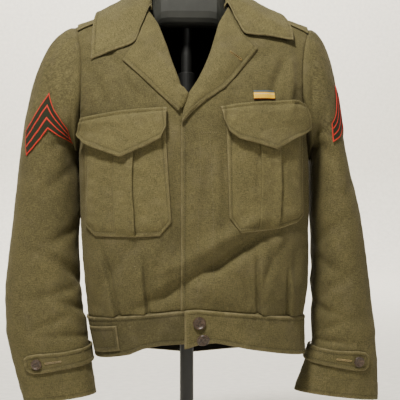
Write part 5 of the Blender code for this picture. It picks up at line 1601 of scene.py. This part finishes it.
def epaulet_cloth(side):
    sign = -1 if side == "right" else 1
    count = 70
    x = sign * np.linspace(0.190, 0.092, count)
    half = 0.0235 - 0.0045 * np.linspace(0, 1, count)
    y = np.linspace(-1, 1, 46)[:, None] * half[None, :]
    wide = np.broadcast_to(x, y.shape)
    flat = shoulder_at(wide, y, 0.0)
    away = rim_distance(flat, "rtb")
    out = REST + DOUBLE + 0.0002 + welt(away) + 0.0006 * ripple(x[None, :], y, 3, 0.05) ** 2 * 0.5
    points = shoulder_at(wide, y, out)
    if sign > 0:
        points, away = points[:, ::-1], away[:, ::-1]
    made = cloth("epaulet_" + side, points, WOOL["trim"], wall=DOUBLE, rim=away)
    for where in "tb":
        sew_edge(points, where)
    return made


def ribbon_cloth():
    low = [(0.0895, 0.6320), (0.1250, 0.6337)]
    top = [(0.0890, 0.6465), (0.1245, 0.6482)]
    up = np.linspace(0, 1, 31)
    grid = patch(low, top, np.linspace(0, 1, 61), up)
    flat = front_at(grid[..., 0], grid[..., 1], 0.0)
    away = rim_distance(flat, "lrtb")
    out = REST + 0.0022 - 0.0005 * np.exp(-(away / 0.0008) ** 2) + 0.0002 * np.sin(up[:, None] * 3.14)
    made = cloth("ribbon_bar", front_at(grid[..., 0], grid[..., 1], out), RIBBON_LOOK, wall=0.0020)
    share_attribute(made, np.broadcast_to(up[:, None], grid.shape[:2]))
    return made


front_cloth("right")
front_cloth("left")
back_cloth()
sleeve_cloth("right")
sleeve_cloth("left")
pocket_cloth("right", POCKET_RIGHT_LOW, POCKET_RIGHT_TOP, -0.112)
pocket_cloth("left", POCKET_LEFT_LOW, POCKET_LEFT_TOP, 0.114)
flap_cloth("right", FLAP_RIGHT_LOW, FLAP_RIGHT_TOP, 0.0110)
flap_cloth("left", FLAP_LEFT_LOW, FLAP_LEFT_TOP, 0.0114)
lapel_cloth("right", LAPEL_RIGHT_FOLD, LAPEL_RIGHT_EDGE, LAPEL_RIGHT_TOP, REST + DOUBLE)
lapel_cloth("left", LAPEL_LEFT_FOLD, LAPEL_LEFT_EDGE, LAPEL_LEFT_TOP, REST + DOUBLE)
collar_cloth()
for name in ("right", "left", "back"):
    band_cloth(name)
waist_tab_cloth("right", FRONT, -0.1700, 84, 43)
waist_tab_cloth("left", BACK, 0.1830, 84, 43)
for name, place in (("right", CHEVRON_RIGHT), ("left", CHEVRON_LEFT)):
    cuff_tab_cloth(name)
    epaulet_cloth(name)
    chevron_cloth(name, place)
ribbon_cloth()


def finish_sewing():
    """Fly stitching, bar tacks and buttonholes, each kind as one mesh."""
    sew_on("front_left", [(0.0050, 0.5795), (0.0310, 0.5800)], PALE, 0.0026)
    sew_on("front_left", [(0.0200, 0.5740), (0.0248, 0.4700), (0.0264, 0.3200)])
    sew_on("front_left", [(0.0045, 0.5780), (0.0020, 0.4500), (-0.0005, 0.3100)])
    sew_on("front_right", [(-0.0430, 0.5800), (-0.0310, 0.5798)], PALE, 0.0026)
    start, out = find_on("lapel_left", 0.0542, 0.7083)
    end, _ = find_on("lapel_left", 0.0706, 0.6966)
    buttonhole(start, end, out, GOLD, 0.0021, True)
    for side in ("right", "left"):
        sign = -1 if side == "right" else 1
        table = SLEEVE_RIGHT if side == "right" else SLEEVE_LEFT
        lift = REST + DOUBLE + 0.0005
        first = sleeve_out(side, np.array(4.72), np.array(math.radians(84)), lift)
        last = sleeve_out(side, np.array(4.72), np.array(math.radians(103)), lift)
        out = sleeve_normal(table, sign, np.array(4.72), np.array(math.radians(94)))
        buttonhole(first, last, out, GOLD, 0.0013)
    for name, rows, look in (("stitching", THREAD, THREAD_LOOK), ("buttonholes", GOLD, GOLD_THREAD),
                             ("bar_tacks", PALE, PALE_THREAD)):
        add_piece(name, stitch_mesh(name, rows), look)
    add_piece("buttonhole_slits", slit_mesh("buttonhole_slits"), INSIDE_SHADE)


def add_piece(name, mesh, look):
    mesh.materials.append(look)
    made = bpy.data.objects.new(name, mesh)
    bpy.context.scene.collection.objects.link(made)
    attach(made, "root")
    return made


finish_sewing()

# The rigid parts keep their own forms
for name, look in (("form", FORM_LOOK), ("stand", STAND_LOOK), ("waist_button_upper", BUTTONS),
                   ("waist_button_lower", BUTTONS), ("cuff_button_right", BUTTONS),
                   ("cuff_button_left", BUTTONS)):
    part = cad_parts[name]
    for slot in part.material_slots:
        slot.material = look

for piece, wide, tall, area, held, rests in SHEETS:
    list(rests)


# Floor, backdrop, light and camera
def backdrop():
    """Floor that curves up into a wall a long way behind the stand."""
    profile = [(-6.0, 0.0), (5.2, 0.0)]
    profile += [(5.2 + 0.8 * math.sin(t), 0.8 - 0.8 * math.cos(t)) for t in np.linspace(0.1, 1.57, 12)]
    profile += [(6.0, 5.0)]
    verts = []
    for x in (-6.0, 6.0):
        verts += [(x, y, z) for y, z in profile]
    count = len(profile)
    faces = [(k, count + k, count + k + 1, k + 1) for k in range(count - 1)]
    mesh = bpy.data.meshes.new("backdrop")
    mesh.from_pydata(verts, [], faces)
    mesh.shade_smooth()
    mesh.materials.append(plain_look("pale_paper", (0.84, 0.81, 0.735), 0.9, 0.06, 45.0))
    made = bpy.data.objects.new("backdrop", mesh)
    bpy.context.scene.collection.objects.link(made)


def area_light(name, place, target, size, power, colour):
    lamp = bpy.data.lights.new(name, "AREA")
    lamp.shape = "RECTANGLE"
    lamp.size = size[0]
    lamp.size_y = size[1]
    lamp.energy = power
    lamp.color = colour
    made = bpy.data.objects.new(name, lamp)
    made.location = place
    made.rotation_euler = (Vector(target) - Vector(place)).to_track_quat("-Z", "Y").to_euler()
    bpy.context.scene.collection.objects.link(made)


backdrop()
area_light("key", (-0.50, -1.25, 2.30), (0, 0, 0.45), (0.36, 0.30), 112, (1.0, 0.97, 0.905))
area_light("fill", (1.5, -2.2, 1.0), (0, 0, 0.5), (1.2, 1.2), 13, (1.0, 0.975, 0.93))
area_light("wall_light", (0.0, 3.6, 4.2), (0, 5.6, 0.5), (4.6, 1.0), 520, (1.0, 0.965, 0.895))
world = bpy.data.worlds.new("room")
world.use_nodes = True
world.node_tree.nodes["Background"].inputs["Color"].default_value = (1.0, 0.98, 0.94, 1.0)
world.node_tree.nodes["Background"].inputs["Strength"].default_value = 0.24
bpy.context.scene.world = world

camera_data = bpy.data.cameras.new("photo_view")
camera_data.lens = 98.7
camera_data.sensor_width = 36.0
camera = bpy.data.objects.new("photo_view", camera_data)
camera.location = (-0.0843, -1.8327, 0.475)
aim = Vector((0.0047, -0.135, 0.475)) - camera.location
camera.rotation_euler = aim.to_track_quat("-Z", "Y").to_euler()
bpy.context.scene.collection.objects.link(camera)
bpy.context.scene.camera = camera
